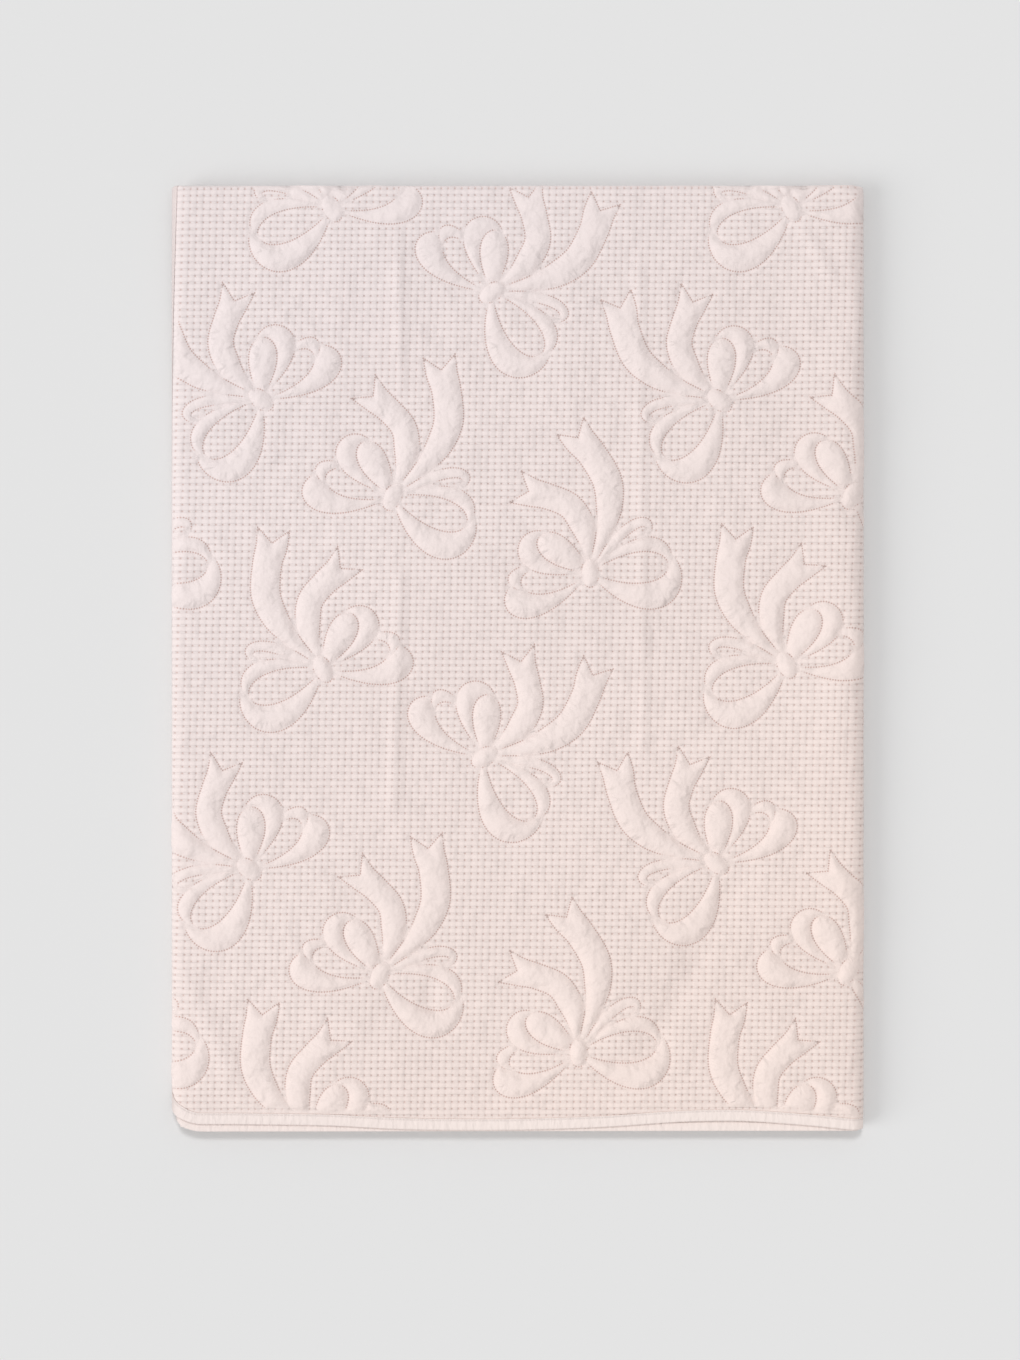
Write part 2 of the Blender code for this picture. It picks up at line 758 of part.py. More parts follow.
def make_binding(material):
    """The tape folded over the edge, all the way round."""
    half, inside = TAPE_HALF, TAPE_INSIDE
    middle = TAPE_WIDTH / 2
    section = (
        (TAPE_WIDTH, half), (middle, half), (0.0, half),
        (-TAPE_EDGE, TAPE_EDGE_HALF), (-TAPE_EDGE, -TAPE_EDGE_HALF),
        (0.0, -half), (middle, -half), (TAPE_WIDTH, -half),
        (TAPE_WIDTH, -inside), (middle, -inside), (-SEAT_GAP, -inside),
        (-SEAT_GAP, inside), (middle, inside), (TAPE_WIDTH, inside),
    )
    shell = Shell()
    loops = [(edge_loop(u), w, u) for u, w in section]
    for (loop_a, wa, ua), (loop_b, wb, ub) in zip(loops, loops[1:] + loops[:1]):
        strip(shell, loop_a, loop_b, wa, wb, ub > ua)
    return shell.build("binding", material)


def plain_material(name, colour, roughness):
    material = bpy.data.materials.new(name)
    material.use_nodes = True
    shader = material.node_tree.nodes["Principled BSDF"]
    shader.inputs["Base Color"].default_value = colour
    shader.inputs["Roughness"].default_value = roughness
    shader.inputs["Metallic"].default_value = 0.0
    return material


def main():
    for thing in list(bpy.data.objects):
        bpy.data.objects.remove(thing)
    make_quilt(plain_material("quilted_cloth", CLOTH_COLOUR, CLOTH_ROUGHNESS))
    make_binding(plain_material("woven_tape", TAPE_COLOUR, TAPE_ROUGHNESS))


main()
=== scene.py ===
import math

import bpy
import numpy as np
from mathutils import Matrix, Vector, kdtree
from mathutils.geometry import delaunay_2d_cdt


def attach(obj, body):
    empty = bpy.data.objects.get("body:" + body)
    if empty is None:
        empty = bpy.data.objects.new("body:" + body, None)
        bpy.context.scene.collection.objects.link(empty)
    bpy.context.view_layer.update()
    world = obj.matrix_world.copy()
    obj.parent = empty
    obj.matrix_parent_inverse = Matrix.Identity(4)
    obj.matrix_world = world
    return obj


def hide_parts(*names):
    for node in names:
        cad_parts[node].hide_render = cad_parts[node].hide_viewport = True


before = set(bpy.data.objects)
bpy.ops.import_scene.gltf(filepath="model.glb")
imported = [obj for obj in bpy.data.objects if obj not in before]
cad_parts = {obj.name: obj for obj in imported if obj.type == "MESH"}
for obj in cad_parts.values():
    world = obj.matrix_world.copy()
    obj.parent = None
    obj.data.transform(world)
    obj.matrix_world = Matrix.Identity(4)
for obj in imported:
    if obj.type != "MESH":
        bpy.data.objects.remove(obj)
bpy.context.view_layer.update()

MM = 0.001

# Folded size, and the origin in the middle of its base
FOLDED_WIDTH = 732 * MM
FOLDED_LENGTH = 1000 * MM

# The cloth and how closely its layers lie
PLY = 3.2 * MM
PLY_GAP = 1.0 * MM
PANEL_GAP = 1.6 * MM
CORNER_RADIUS = 46 * MM
SHOULDER_RADIUS = 9 * MM
SIDE_CLEARANCE = 0.8 * MM
TUCK = 2 * MM

# The binding tape, and the cloth pressed thin inside it
TAPE_WIDTH = 11 * MM
TAPE_HALF = 1.55 * MM
TAPE_INSIDE = 1.0 * MM
TAPE_EDGE = 0.9 * MM
SEAT_GAP = 0.3 * MM
PRESSED_HALF = TAPE_INSIDE - SEAT_GAP
PUFF_START = TAPE_WIDTH + 2.3 * MM

# Radii of the folds, to the middle of what is folded
HALF_RADIUS = (PLY + PLY_GAP) / 2
PANEL_HALF = HALF_RADIUS + PLY / 2
PANEL_PITCH = 2 * PANEL_HALF + PANEL_GAP
BOTTOM_Z = PANEL_HALF
MIDDLE_Z = BOTTOM_Z + PANEL_PITCH
TOP_Z = MIDDLE_Z + PANEL_PITCH
RIGHT_RADIUS = (TOP_Z - BOTTOM_Z) / 2
LEFT_RADIUS = (MIDDLE_Z - BOTTOM_Z) / 2

# Where the straight runs of the fold begin and end
SHOULDER_X = SHOULDER_RADIUS + PANEL_HALF - FOLDED_WIDTH / 2
RIGHT_X = FOLDED_WIDTH / 2 - RIGHT_RADIUS - PANEL_HALF
LEFT_X = SHOULDER_X - SHOULDER_RADIUS + 2 * PANEL_HALF + SIDE_CLEARANCE + LEFT_RADIUS
HALF_FOLD_Y = FOLDED_LENGTH / 2 - PANEL_HALF
FOLD_B = HALF_FOLD_Y + FOLDED_LENGTH / 2
TURN_B = math.pi * HALF_RADIUS
DROP = 20 * MM

# Steps of the round folds, and of the straight runs
SHOULDER_STEPS = 8
SHOULDER_END = 3 * MM
RIGHT_STEPS = 14
RIGHT_SHOWN = 9
LEFT_STEPS = 8
HALF_STEPS = 8
HALF_SHOWN = 5
ARC_STEPS = 6
TUCKED_STEPS = 8
HEM_STEP = 13 * MM
HIDDEN_STEP = 55 * MM
SIDE_STEP = 13 * MM

# x and how far the top layer's hem stays above the bottom line, in millimetres
HEM = (
    (-300.0, 9.4),
    (-198.0, 7.9),
    (-124.0, 4.2),
    (-18.0, 3.2),
    (87.0, 6.3),
    (172.0, 11.9),
    (235.0, 12.9),
    (298.0, 9.0),
    (330.0, 6.0),
    (353.3, 3.5),
)
HEM_INSIDE = 6.0 * MM
LOWER_HEM = 0.9 * MM
LOWER_HEM_INSIDE = 4.0 * MM

# y and how far the left edge reaches down over the side, in millimetres
OVERHANG = (
    (-440.0, 25.2),
    (-380.0, 25.2),
    (-300.0, 25.2),
    (-150.0, 25.0),
    (0.0, 24.8),
    (150.0, 24.2),
    (250.0, 23.0),
    (340.0, 20.8),
    (420.0, 18.0),
    (465.0, 16.6),
    (485.0, 15.9),
)

# Broad rises of the stack: x, y, reach across, reach along in millimetres, and share of height
RISES = (
    (345.0, 95.0, 34.0, 430.0, 0.2),
    (300.0, -420.0, 60.0, 120.0, 0.05),
    (120.0, -330.0, 110.0, 150.0, 0.07),
    (60.0, 120.0, 160.0, 200.0, 0.06),
    (-180.0, 60.0, 120.0, 260.0, 0.05),
    (-230.0, -380.0, 110.0, 90.0, 0.05),
    (-20.0, -400.0, 60.0, 90.0, -0.04),
)
TOP_SINK = 0.11
TOP_SINK_REACH = 14 * MM

CREASE_SHOWN = 2.2

# Creases left from the packing: ends x, y, x, y, half width and height, all in millimetres
CREASES = (
    (-127.0, 470.0, -122.0, 260.0, 6.0, 1.2),
    (-124.0, 110.0, -132.0, -180.0, 6.0, 1.2),
    (128.0, 440.0, 133.0, -120.0, 6.0, 1.0),
    (-230.0, 160.0, 60.0, 166.0, 6.0, -0.9),
    (-60.0, 98.0, 180.0, 102.0, 6.0, -0.7),
    (-300.0, -18.0, -170.0, -20.0, 6.0, -0.8),
    (-120.0, -158.0, 90.0, -172.0, 6.0, -0.9),
    (247.0, -205.0, 128.0, -436.0, 16.0, -1.4),
    (-91.0, -310.0, -93.0, -400.0, 10.0, -1.2),
    (-360.0, -312.0, -290.0, -462.0, 12.0, 1.3),
    (285.0, 480.0, 345.0, 380.0, 7.0, 0.8),
)

# Quilted relief, in millimetres
RIBBON_PUFF = 4.1
RIBBON_REACH = 10.0
GROUND_PUFF = 1.3
GROUND_REACH = 4.5
SEAM_STEP = 3.4
SEAM_SAMPLE = 1.0
FLANK = 2.1
RIBBON_STEP = 5.2
CELL_CLEAR = 3.0
CELL_TOP = 0.29
EDGE_FADE = 5.0
FOLD_FADE = 20 * MM
FOLD_RELIEF = 0.25
WRINKLE = 0.55
WRINKLE_PITCH = 9.0

# Loops of a bow, lowest first: direction in degrees, length, width, taper, bend, filling
LOOPS = (
    (44.0, 84.0, 27.0, 1.2, -4.0, "ribbon"),
    (42.0, 76.0, 10.0, 3.0, -4.0, "ground"),
    (-5.0, 97.0, 66.0, 0.8, 0.0, "ribbon"),
    (14.0, 88.0, 46.0, 1.1, 0.0, "ribbon"),
    (6.0, 83.0, 33.0, 0.9, 0.0, "ground"),
    (202.0, 96.0, 44.0, 1.1, 0.0, "ribbon"),
    (185.0, 87.0, 29.0, 1.0, 0.0, "ribbon"),
    (189.0, 74.0, 29.0, 0.9, 0.0, "ground"),
    (157.0, 81.0, 43.0, 1.3, 0.0, "ribbon"),
    (145.0, 66.0, 30.0, 1.0, 0.0, "ribbon"),
)

# Tails of a bow: x, y and width of the ribbon, in millimetres from the knot
SHORT_TAIL = ((-1, 10, 7), (-2, 29, 17), (-8, 50, 26), (-21, 70, 27), (-43, 80, 27), (-62, 85, 30), (-79, 91, 36))
LONG_TAIL = ((4, 10, 8), (14, 40, 16), (20, 68, 27), (18, 97, 31), (2, 125, 31), (-11, 140, 33), (-21, 155, 34))
TAIL_NOTCH = 15.0
KNOT = (9.5, 15.5)
BOW_REACH = 165.0
OUTLINE_POINTS = 360

# Bows that reach the top panel: x, y in millimetres, turn in degrees, mirrored or not
BOWS = (
    (-396.7, 585.3, 0.0, False),
    (-409.2, 90.3, 0.0, False),
    (-421.9, -415.5, 0.0, False),
    (89.3, 586.3, 0.0, False),
    (76.6, 90.3, 0.0, False),
    (64.4, -415.5, 0.0, False),
    (-131.5, 170.5, -26.0, False),
    (-145.2, -334.2, -26.0, False),
    (352.2, 171.6, -26.0, False),
    (348.0, -330.0, -26.0, False),
    (-26.9, 386.0, -58.0, False),
    (-34.8, -104.0, -58.0, False),
    (-53.4, -606.0, -58.0, False),
    (458.0, 387.0, -58.0, False),
    (445.3, -109.0, -58.0, False),
    (-195.9, 474.7, 27.0, True),
    (-205.4, -11.1, 27.0, True),
    (-216.0, -508.5, 27.0, True),
    (288.8, 474.7, 27.0, True),
    (283.5, -6.9, 27.0, True),
    (277.2, -508.5, 27.0, True),
    (-270.9, 273.0, 52.0, True),
    (-283.5, -222.3, 52.0, True),
    (212.8, 271.9, 52.0, True),
    (209.6, -216.0, 52.0, True),
)
REPEAT_ACROSS = (486.0, 1.0)
REPEAT_ALONG = (-12.7, -496.0)
CELLS_ACROSS = 68
CELLS_ALONG = 70

# Pitch of the welded dots along a bow's seams, in millimetres
SEAM_DOT_PITCH = 2.8
SEAM_JUMP = 14.0

# Stitches that hold the tape, in millimetres
STITCH_INSIDE = 9.3
STITCH_PITCH = 3.8
STITCH_LENGTH = 2.7
STITCH_RADIUS = 0.28
STITCH_BED = 1.3
# How far down the left shoulder, in millimetres, the tape's colour darkens fully: painted shade where the edge
# turns away
SIDE_SHADE = 12.0

# Camera over the middle of the picture, and the picture's place on the bedspread
PICTURE_LONG = 1360
MM_PER_PIXEL = 1.056
OBJECT_CENTRE_PIXEL = (517.5, 658.5)
PICTURE_CENTRE_PIXEL = (510.0, 680.0)
LENS = 85.0
SENSOR = 36.0


class Run:
    """One stretch of the letter fold: straight, or turning right round an arc."""

    def __init__(self, start, point, heading, length, radius):
        self.start = start
        self.point = point
        self.heading = heading
        self.length = length
        self.radius = radius

    def at(self, s, out):
        along = s - self.start
        if not self.radius:
            x = self.point[0] + along * math.cos(self.heading)
            z = self.point[1] + along * math.sin(self.heading)
            return x - out * math.sin(self.heading), z + out * math.cos(self.heading)
        centre_x = self.point[0] + self.radius * math.sin(self.heading)
        centre_z = self.point[1] - self.radius * math.cos(self.heading)
        angle = self.heading - along / self.radius
        reach = self.radius + out
        return centre_x - reach * math.sin(angle), centre_z + reach * math.cos(angle)

    def next(self, length, radius):
        end = self.start + self.length
        turned = self.length / self.radius if self.radius else 0.0
        return Run(end, self.at(end, 0.0), self.heading - turned, length, radius)


def letter_fold():
    """The path of the folded pair of layers in X and Z, from the left edge to the tucked one."""
    shoulder = math.pi / 2 * SHOULDER_RADIUS
    lowest = (SHOULDER_X - SHOULDER_RADIUS, TOP_Z - SHOULDER_RADIUS - DROP)
    side = Run(-shoulder - DROP, lowest, math.pi / 2, DROP, 0.0)
    bend = side.next(shoulder, SHOULDER_RADIUS)
    top = bend.next(RIGHT_X - SHOULDER_X, 0.0)
    right = top.next(math.pi * RIGHT_RADIUS, RIGHT_RADIUS)
    bottom = right.next(RIGHT_X - LEFT_X, 0.0)
    left = bottom.next(math.pi * LEFT_RADIUS, LEFT_RADIUS)
    middle = left.next(RIGHT_X - TUCK - LEFT_X, 0.0)
    return side, bend, top, right, bottom, left, middle


RUNS = letter_fold()
SIDE, BEND, TOP, RIGHT, BOTTOM, LEFT, MIDDLE = RUNS
LAST_S = MIDDLE.start + MIDDLE.length
SHOWN_S = RIGHT.start + RIGHT.length * RIGHT_SHOWN / RIGHT_STEPS
SHOWN_B = FOLD_B + TURN_B * HALF_SHOWN / HALF_STEPS


def smooth(value):
    value = min(max(value, 0.0), 1.0)
    return value * value * (3 - 2 * value)


def curve(value, rows):
    """A smooth curve through a table of two columns, read at a value of the first."""
    places = [row[0] for row in rows]
    if value <= places[0]:
        return rows[0][1]
    if value >= places[-1]:
        return rows[-1][1]
    k = next(n for n in range(len(rows) - 1) if value <= places[n + 1])
    levels = [rows[min(max(n, 0), len(rows) - 1)] for n in range(k - 1, k + 3)]
    span = places[k + 1] - places[k]
    t = (value - places[k]) / span
    slope_in = (levels[2][1] - levels[0][1]) / max(levels[2][0] - levels[0][0], 1e-9) * span
    slope_out = (levels[3][1] - levels[1][1]) / max(levels[3][0] - levels[1][0], 1e-9) * span
    return (
        (2 * t**3 - 3 * t**2 + 1) * levels[1][1]
        + (t**3 - 2 * t**2 + t) * slope_in
        + (3 * t**2 - 2 * t**3) * levels[2][1]
        + (t**3 - t**2) * slope_out
    )


def loft(x, y):
    """Share by which the whole stack stands higher or lower at a place."""
    share = 0.0
    for cx, cy, across, along, height in RISES:
        far = ((x / MM - cx) / across) ** 2 + ((y / MM - cy) / along) ** 2
        share += height * math.exp(-far)
    near_top = max(FOLDED_LENGTH / 2 - y, 0.0) / TOP_SINK_REACH
    return share - TOP_SINK * math.exp(-near_top)


def place(s, b, w):
    """Where a point of the flat cloth comes to lie in the folded bedspread."""
    reach = HALF_RADIUS + w
    if b <= FOLD_B:
        y = b - FOLDED_LENGTH / 2
        out = reach
    elif b <= FOLD_B + TURN_B:
        angle = (b - FOLD_B) / HALF_RADIUS
        y = HALF_FOLD_Y + reach * math.sin(angle)
        out = reach * math.cos(angle)
    else:
        y = HALF_FOLD_Y - (b - FOLD_B - TURN_B)
        out = -reach
    run = RUNS[0]
    for later in RUNS[1:]:
        if s >= later.start:
            run = later
    x, z = run.at(s, out)
    return x, y, z * (1 + loft(x, y))


def overhang(y):
    """How far the left edge reaches past the start of the top panel."""
    return curve(y / MM, OVERHANG) * MM


def hem_inset(s, lower):
    """How far the hem at s stays above the bottom line."""
    if lower:
        return float(np.interp(s, [TOP.start, LAST_S], [LOWER_HEM, LOWER_HEM_INSIDE]))
    if s < RIGHT.start:
        return curve((s - TOP.start + SHOULDER_X) / MM, HEM) * MM
    return float(np.interp(s, [RIGHT.start, LAST_S], [HEM[-1][1] * MM, HEM_INSIDE]))


def lengthwise(y, lower):
    """The coordinate b of a place y, on the upper or the lower layer of the half fold."""
    return FOLD_B + TURN_B + HALF_FOLD_Y - y if lower else y + FOLDED_LENGTH / 2


def hem_b(s, inside, lower):
    """The coordinate b at a distance inside the hem."""
    return lengthwise(hem_inset(s, lower) + inside - FOLDED_LENGTH / 2, lower)


def steps_between(low, high, step):
    """Even places from low up to high, both left out, about a step apart."""
    count = max(int(round((high - low) / step)), 1)
    return [low + (high - low) * k / count for k in range(1, count)]


def turn_rows():
    return [FOLD_B + TURN_B * k / HALF_STEPS for k in range(HALF_STEPS + 1)]


CORNER_Y = OVERHANG[0][0] * MM
CORNER_S = CORNER_RADIUS - overhang(CORNER_Y)
TUCKED_S = LAST_S - CORNER_RADIUS
ROWS_START = CORNER_Y + 20 * MM


def side_rows(step):
    """Rows b up the upper layer, round the half fold and down the lower layer."""
    places = [ROWS_START] + steps_between(ROWS_START, HALF_FOLD_Y, step)
    upper = [lengthwise(y, False) for y in places]
    lower = [lengthwise(y, True) for y in reversed(places)]
    return upper + turn_rows() + lower


def row_y(b):
    if b <= FOLD_B:
        return b - FOLDED_LENGTH / 2
    return min(HALF_FOLD_Y, HALF_FOLD_Y - (b - FOLD_B - TURN_B))


def run_stations(run, step):
    return steps_between(run.start, run.start + run.length, step)


def arc_stations(run, steps):
    return [run.start + run.length * k / steps for k in range(steps + 1)]


def shoulder_stations(y):
    """Places across the rounded left shoulder, from the puffed cloth's edge to the panel."""
    first = PUFF_START - overhang(y)
    return [first + (SHOULDER_END - first) * k / SHOULDER_STEPS for k in range(SHOULDER_STEPS + 1)]


def corner_angles():
    """Angles round a left corner, set so that the shoulder's lines end on its arc."""
    inner = CORNER_RADIUS - PUFF_START
    angles = [math.acos(min((CORNER_S - s) / inner, 1.0)) for s in shoulder_stations(CORNER_Y)]
    rest = math.pi / 2 - angles[-1]
    return angles + [angles[-1] + rest * k / ARC_STEPS for k in range(1, ARC_STEPS + 1)]


def corner(centre_s, centre_b, radius, angles, side, end):
    """An arc from a side edge to a hem; side and end are -1 or 1, the ways the corner points."""
    return [(centre_s + side * radius * math.cos(a), centre_b + end * radius * math.sin(a)) for a in angles]


def corner_centre(s, lower):
    return lengthwise(hem_inset(s, lower) + CORNER_RADIUS - FOLDED_LENGTH / 2, lower)


def hem_stations(lower):
    """Places along a hem between its corners: close together where it shows."""
    places = [s for s in run_stations(TOP, HEM_STEP) if s > CORNER_S + 5 * MM]
    places += arc_stations(RIGHT, RIGHT_STEPS) + run_stations(BOTTOM, 2 * HEM_STEP)
    places += arc_stations(LEFT, LEFT_STEPS)
    return places + [s for s in run_stations(MIDDLE, 2 * HEM_STEP) if s < TUCKED_S - 5 * MM]


def edge_loop(inside):
    """Points (s, b) round the bedspread, at a distance inside its edge."""
    radius = CORNER_RADIUS - inside
    left_angles = corner_angles()
    right_angles = [math.pi / 2 * k / TUCKED_STEPS for k in range(TUCKED_STEPS + 1)]
    rows = side_rows(SIDE_STEP)
    loop = [(inside - overhang(row_y(b)), b) for b in rows]
    for lower in (True, False):
        end = 1 if lower else -1
        near = corner(CORNER_S, corner_centre(CORNER_S, lower), radius, left_angles, -1, end)
        far = corner(TUCKED_S, corner_centre(TUCKED_S, lower), radius, right_angles, 1, end)
        across = near + [(s, hem_b(s, inside, lower)) for s in hem_stations(lower)] + far[::-1]
        loop += across if lower else across[::-1]
        if lower:
            loop += [(LAST_S - inside, b) for b in reversed(rows)]
    return loop


def teardrop(direction, length, width, taper, bend):
    """A loop of ribbon from the knot, widest near its far end."""
    angle = np.linspace(0, 2 * math.pi, OUTLINE_POINTS, endpoint=False)
    across = np.sin(angle) * np.abs(np.sin(angle / 2)) ** taper
    x = length * (1 - np.cos(angle)) / 2
    y = width / 2 * across / across.max() + bend * (x / length) ** 2
    turn = math.radians(direction)
    return np.stack([x * math.cos(turn) - y * math.sin(turn), x * math.sin(turn) + y * math.cos(turn)], axis=1)


def spline(stations, steps=24):
    """A smooth line through stations of any number of columns."""
    rows = np.array(stations, float)
    padded = np.vstack([rows[0], rows, rows[-1]])
    line = []
    for p0, p1, p2, p3 in zip(padded, padded[1:], padded[2:], padded[3:]):
        for k in range(steps):
            t = k / steps
            bend = 2 * p0 - 5 * p1 + 4 * p2 - p3
            line.append(0.5 * (2 * p1 + (p2 - p0) * t + bend * t * t + (3 * p1 - p0 - 3 * p2 + p3) * t**3))
    return np.array(line + [rows[-1]])


def tail(stations):
    """A ribbon's end, widening from the knot to a swallow tail."""
    line = spline(stations)
    heading = np.gradient(line[:, :2], axis=0)
    heading /= np.linalg.norm(heading, axis=1)[:, None]
    normal = np.stack([-heading[:, 1], heading[:, 0]], axis=1)
    left = line[:, :2] + normal * line[:, 2:] / 2
    right = line[:, :2] - normal * line[:, 2:] / 2
    notch = line[-1, :2] - heading[-1] * TAIL_NOTCH
    ends = [np.linspace(left[-1], notch, 24)[1:], np.linspace(notch, right[-1], 24)[1:-1]]
    return np.vstack([left, *ends, right[::-1]])


def bow_shapes():
    """The bow's outlines, lowest first, with what fills each."""
    shapes = [(tail(SHORT_TAIL), "ribbon"), (tail(LONG_TAIL), "ribbon")]
    shapes += [(teardrop(*row[:5]), row[5]) for row in LOOPS]
    angle = np.linspace(0, 2 * math.pi, 120, endpoint=False)
    knot = np.stack([KNOT[0] * np.cos(angle), KNOT[1] * np.sin(angle)], axis=1)
    return shapes + [(knot, "ribbon")]


def contains(outline, points):
    """Which points lie inside a closed outline."""
    after = np.roll(outline, -1, axis=0)
    x, y = points[:, :1], points[:, 1:]
    x1, y1, x2, y2 = outline[:, 0], outline[:, 1], after[:, 0], after[:, 1]
    rise = np.where(np.abs(y2 - y1) < 1e-12, 1e-12, y2 - y1)
    crosses = ((y1 > y) != (y2 > y)) & (x < (x2 - x1) * (y - y1) / rise + x1)
    return crosses.sum(axis=1) % 2 == 1


def resampled(line, step):
    """A line's points an even step apart, with its sharp corners kept."""
    gaps = np.linalg.norm(np.diff(line, axis=0), axis=1)
    line = line[np.append(True, gaps > 1e-6)]
    heading = np.unwrap(np.arctan2(np.diff(line[:, 1]), np.diff(line[:, 0])))
    corners = [0] + [k + 1 for k in np.flatnonzero(np.abs(np.diff(heading)) > 0.6)] + [len(line) - 1]
    points = []
    for low, high in zip(corners, corners[1:]):
        part = line[low:high + 1]
        run = np.append(0.0, np.cumsum(np.linalg.norm(np.diff(part, axis=0), axis=1)))
        if run[-1] < 1e-6:
            continue
        count = max(int(round(run[-1] / step)), 1)
        places = np.linspace(0, run[-1], count + 1)
        fresh = np.stack([np.interp(places, run, part[:, 0]), np.interp(places, run, part[:, 1])], axis=1)
        points.append(fresh if not points else fresh[1:])
    return np.vstack(points)


def bow_seams(shapes):
    """The seams that no higher ribbon covers, highest first, as fine lines in the bow's frame."""
    seams = []
    for level, (outline, _) in reversed(list(enumerate(shapes))):
        closed = np.vstack([outline, outline[:1]])
        hidden = np.zeros(len(closed), bool)
        for other, _ in shapes[level + 1:]:
            hidden |= contains(other, closed)
        shown = np.flatnonzero(~hidden)
        for part in np.split(shown, np.flatnonzero(np.diff(shown) > 1) + 1):
            if len(part) > 3:
                seams.append(closed[part])
    return seams


def bow_places():
    """Every bow that reaches the top panel: x, y, turn and mirroring."""
    return [(x, y, math.radians(turn), mirrored) for x, y, turn, mirrored in BOWS]


def to_cloth(points, bow):
    """From a bow's own frame to millimetres across and along the cloth."""
    x, y, turn, mirrored = bow
    px = -points[:, 0] if mirrored else points[:, 0]
    cos, sin = math.cos(turn), math.sin(turn)
    return np.stack([x + px * cos - points[:, 1] * sin, y + px * sin + points[:, 1] * cos], axis=1)


def from_cloth(points, bow):
    x, y, turn, mirrored = bow
    dx, dy = points[:, 0] - x, points[:, 1] - y
    cos, sin = math.cos(turn), math.sin(turn)
    px = dx * cos + dy * sin
    return np.stack([-px if mirrored else px, dy * cos - dx * sin], axis=1)


def on_ribbon(points, shapes, bows):
    """Which points lie on a ribbon of any bow."""
    found = np.zeros(len(points), bool)
    for bow in bows:
        local = from_cloth(points, bow)
        near = np.flatnonzero((local**2).sum(axis=1) < BOW_REACH**2)
        open_ones = near
        for outline, kind in reversed(shapes):
            if not len(open_ones):
                break
            low, high = outline.min(axis=0), outline.max(axis=0)
            spots = local[open_ones]
            boxed = ((spots > low) & (spots < high)).all(axis=1)
            inside = np.zeros(len(open_ones), bool)
            inside[boxed] = contains(outline, spots[boxed])
            if kind == "ribbon":
                found[open_ones[inside]] = True
            open_ones = open_ones[~inside]
    return found


CELL_ACROSS = np.array(REPEAT_ACROSS) / CELLS_ACROSS
CELL_ALONG = -np.array(REPEAT_ALONG) / CELLS_ALONG
CELL_INVERSE = np.linalg.inv(np.stack([CELL_ACROSS, CELL_ALONG], axis=1))


def cells_at(points):
    """Waffle coordinates, whole numbers at the welded dots, of places in millimetres."""
    return points @ CELL_INVERSE.T


def cloth_xy(s, b):
    """Millimetres across and along the cloth, as if the top panel went on flat."""
    return (s - TOP.start + SHOULDER_X) / MM, (b - FOLDED_LENGTH / 2) / MM


def cloth_sb(x, y):
    return x * MM - SHOULDER_X + TOP.start, y * MM + FOLDED_LENGTH / 2


def edge_room(s, b):
    """Distance in millimetres from the borders of the cloth that shows, negative outside."""
    room = min(s + overhang(row_y(b)) - PUFF_START, SHOWN_S - s, SHOWN_B - b, b - hem_b(s, PUFF_START, False))
    centre = corner_centre(CORNER_S, False)
    if s < CORNER_S and b < centre:
        room = min(room, CORNER_RADIUS - PUFF_START - math.hypot(s - CORNER_S, b - centre))
    return room / MM


def crease_height(x, y):
    """Height of the packing creases at a place, in millimetres."""
    height = 0.0
    for x1, y1, x2, y2, width, tall in CREASES:
        span = (x2 - x1, y2 - y1)
        length = math.hypot(*span)
        along = ((x - x1) * span[0] + (y - y1) * span[1]) / length**2
        off = ((x - x1) * span[1] - (y - y1) * span[0]) / length
        ends = smooth(along * length / 40) * smooth((1 - along) * length / 40)
        height += CREASE_SHOWN * tall * ends * math.exp(-((off / width) ** 2))
    return height


class Spread:
    """Points kept a little apart, found again by small squares."""

    SIZE = 2.0

    def __init__(self):
        self.squares = {}
        self.points = []
        self.facts = []

    def near(self, x, y, space):
        column, row = int(x // self.SIZE), int(y // self.SIZE)
        for i in range(column - 1, column + 2):
            for j in range(row - 1, row + 2):
                for number in self.squares.get((i, j), ()):
                    px, py = self.points[number]
                    if (px - x) ** 2 + (py - y) ** 2 < space * space:
                        return number
        return None

    def add(self, x, y, **facts):
        self.squares.setdefault((int(x // self.SIZE), int(y // self.SIZE)), []).append(len(self.points))
        self.points.append((x, y))
        self.facts.append(facts)
        return len(self.points) - 1


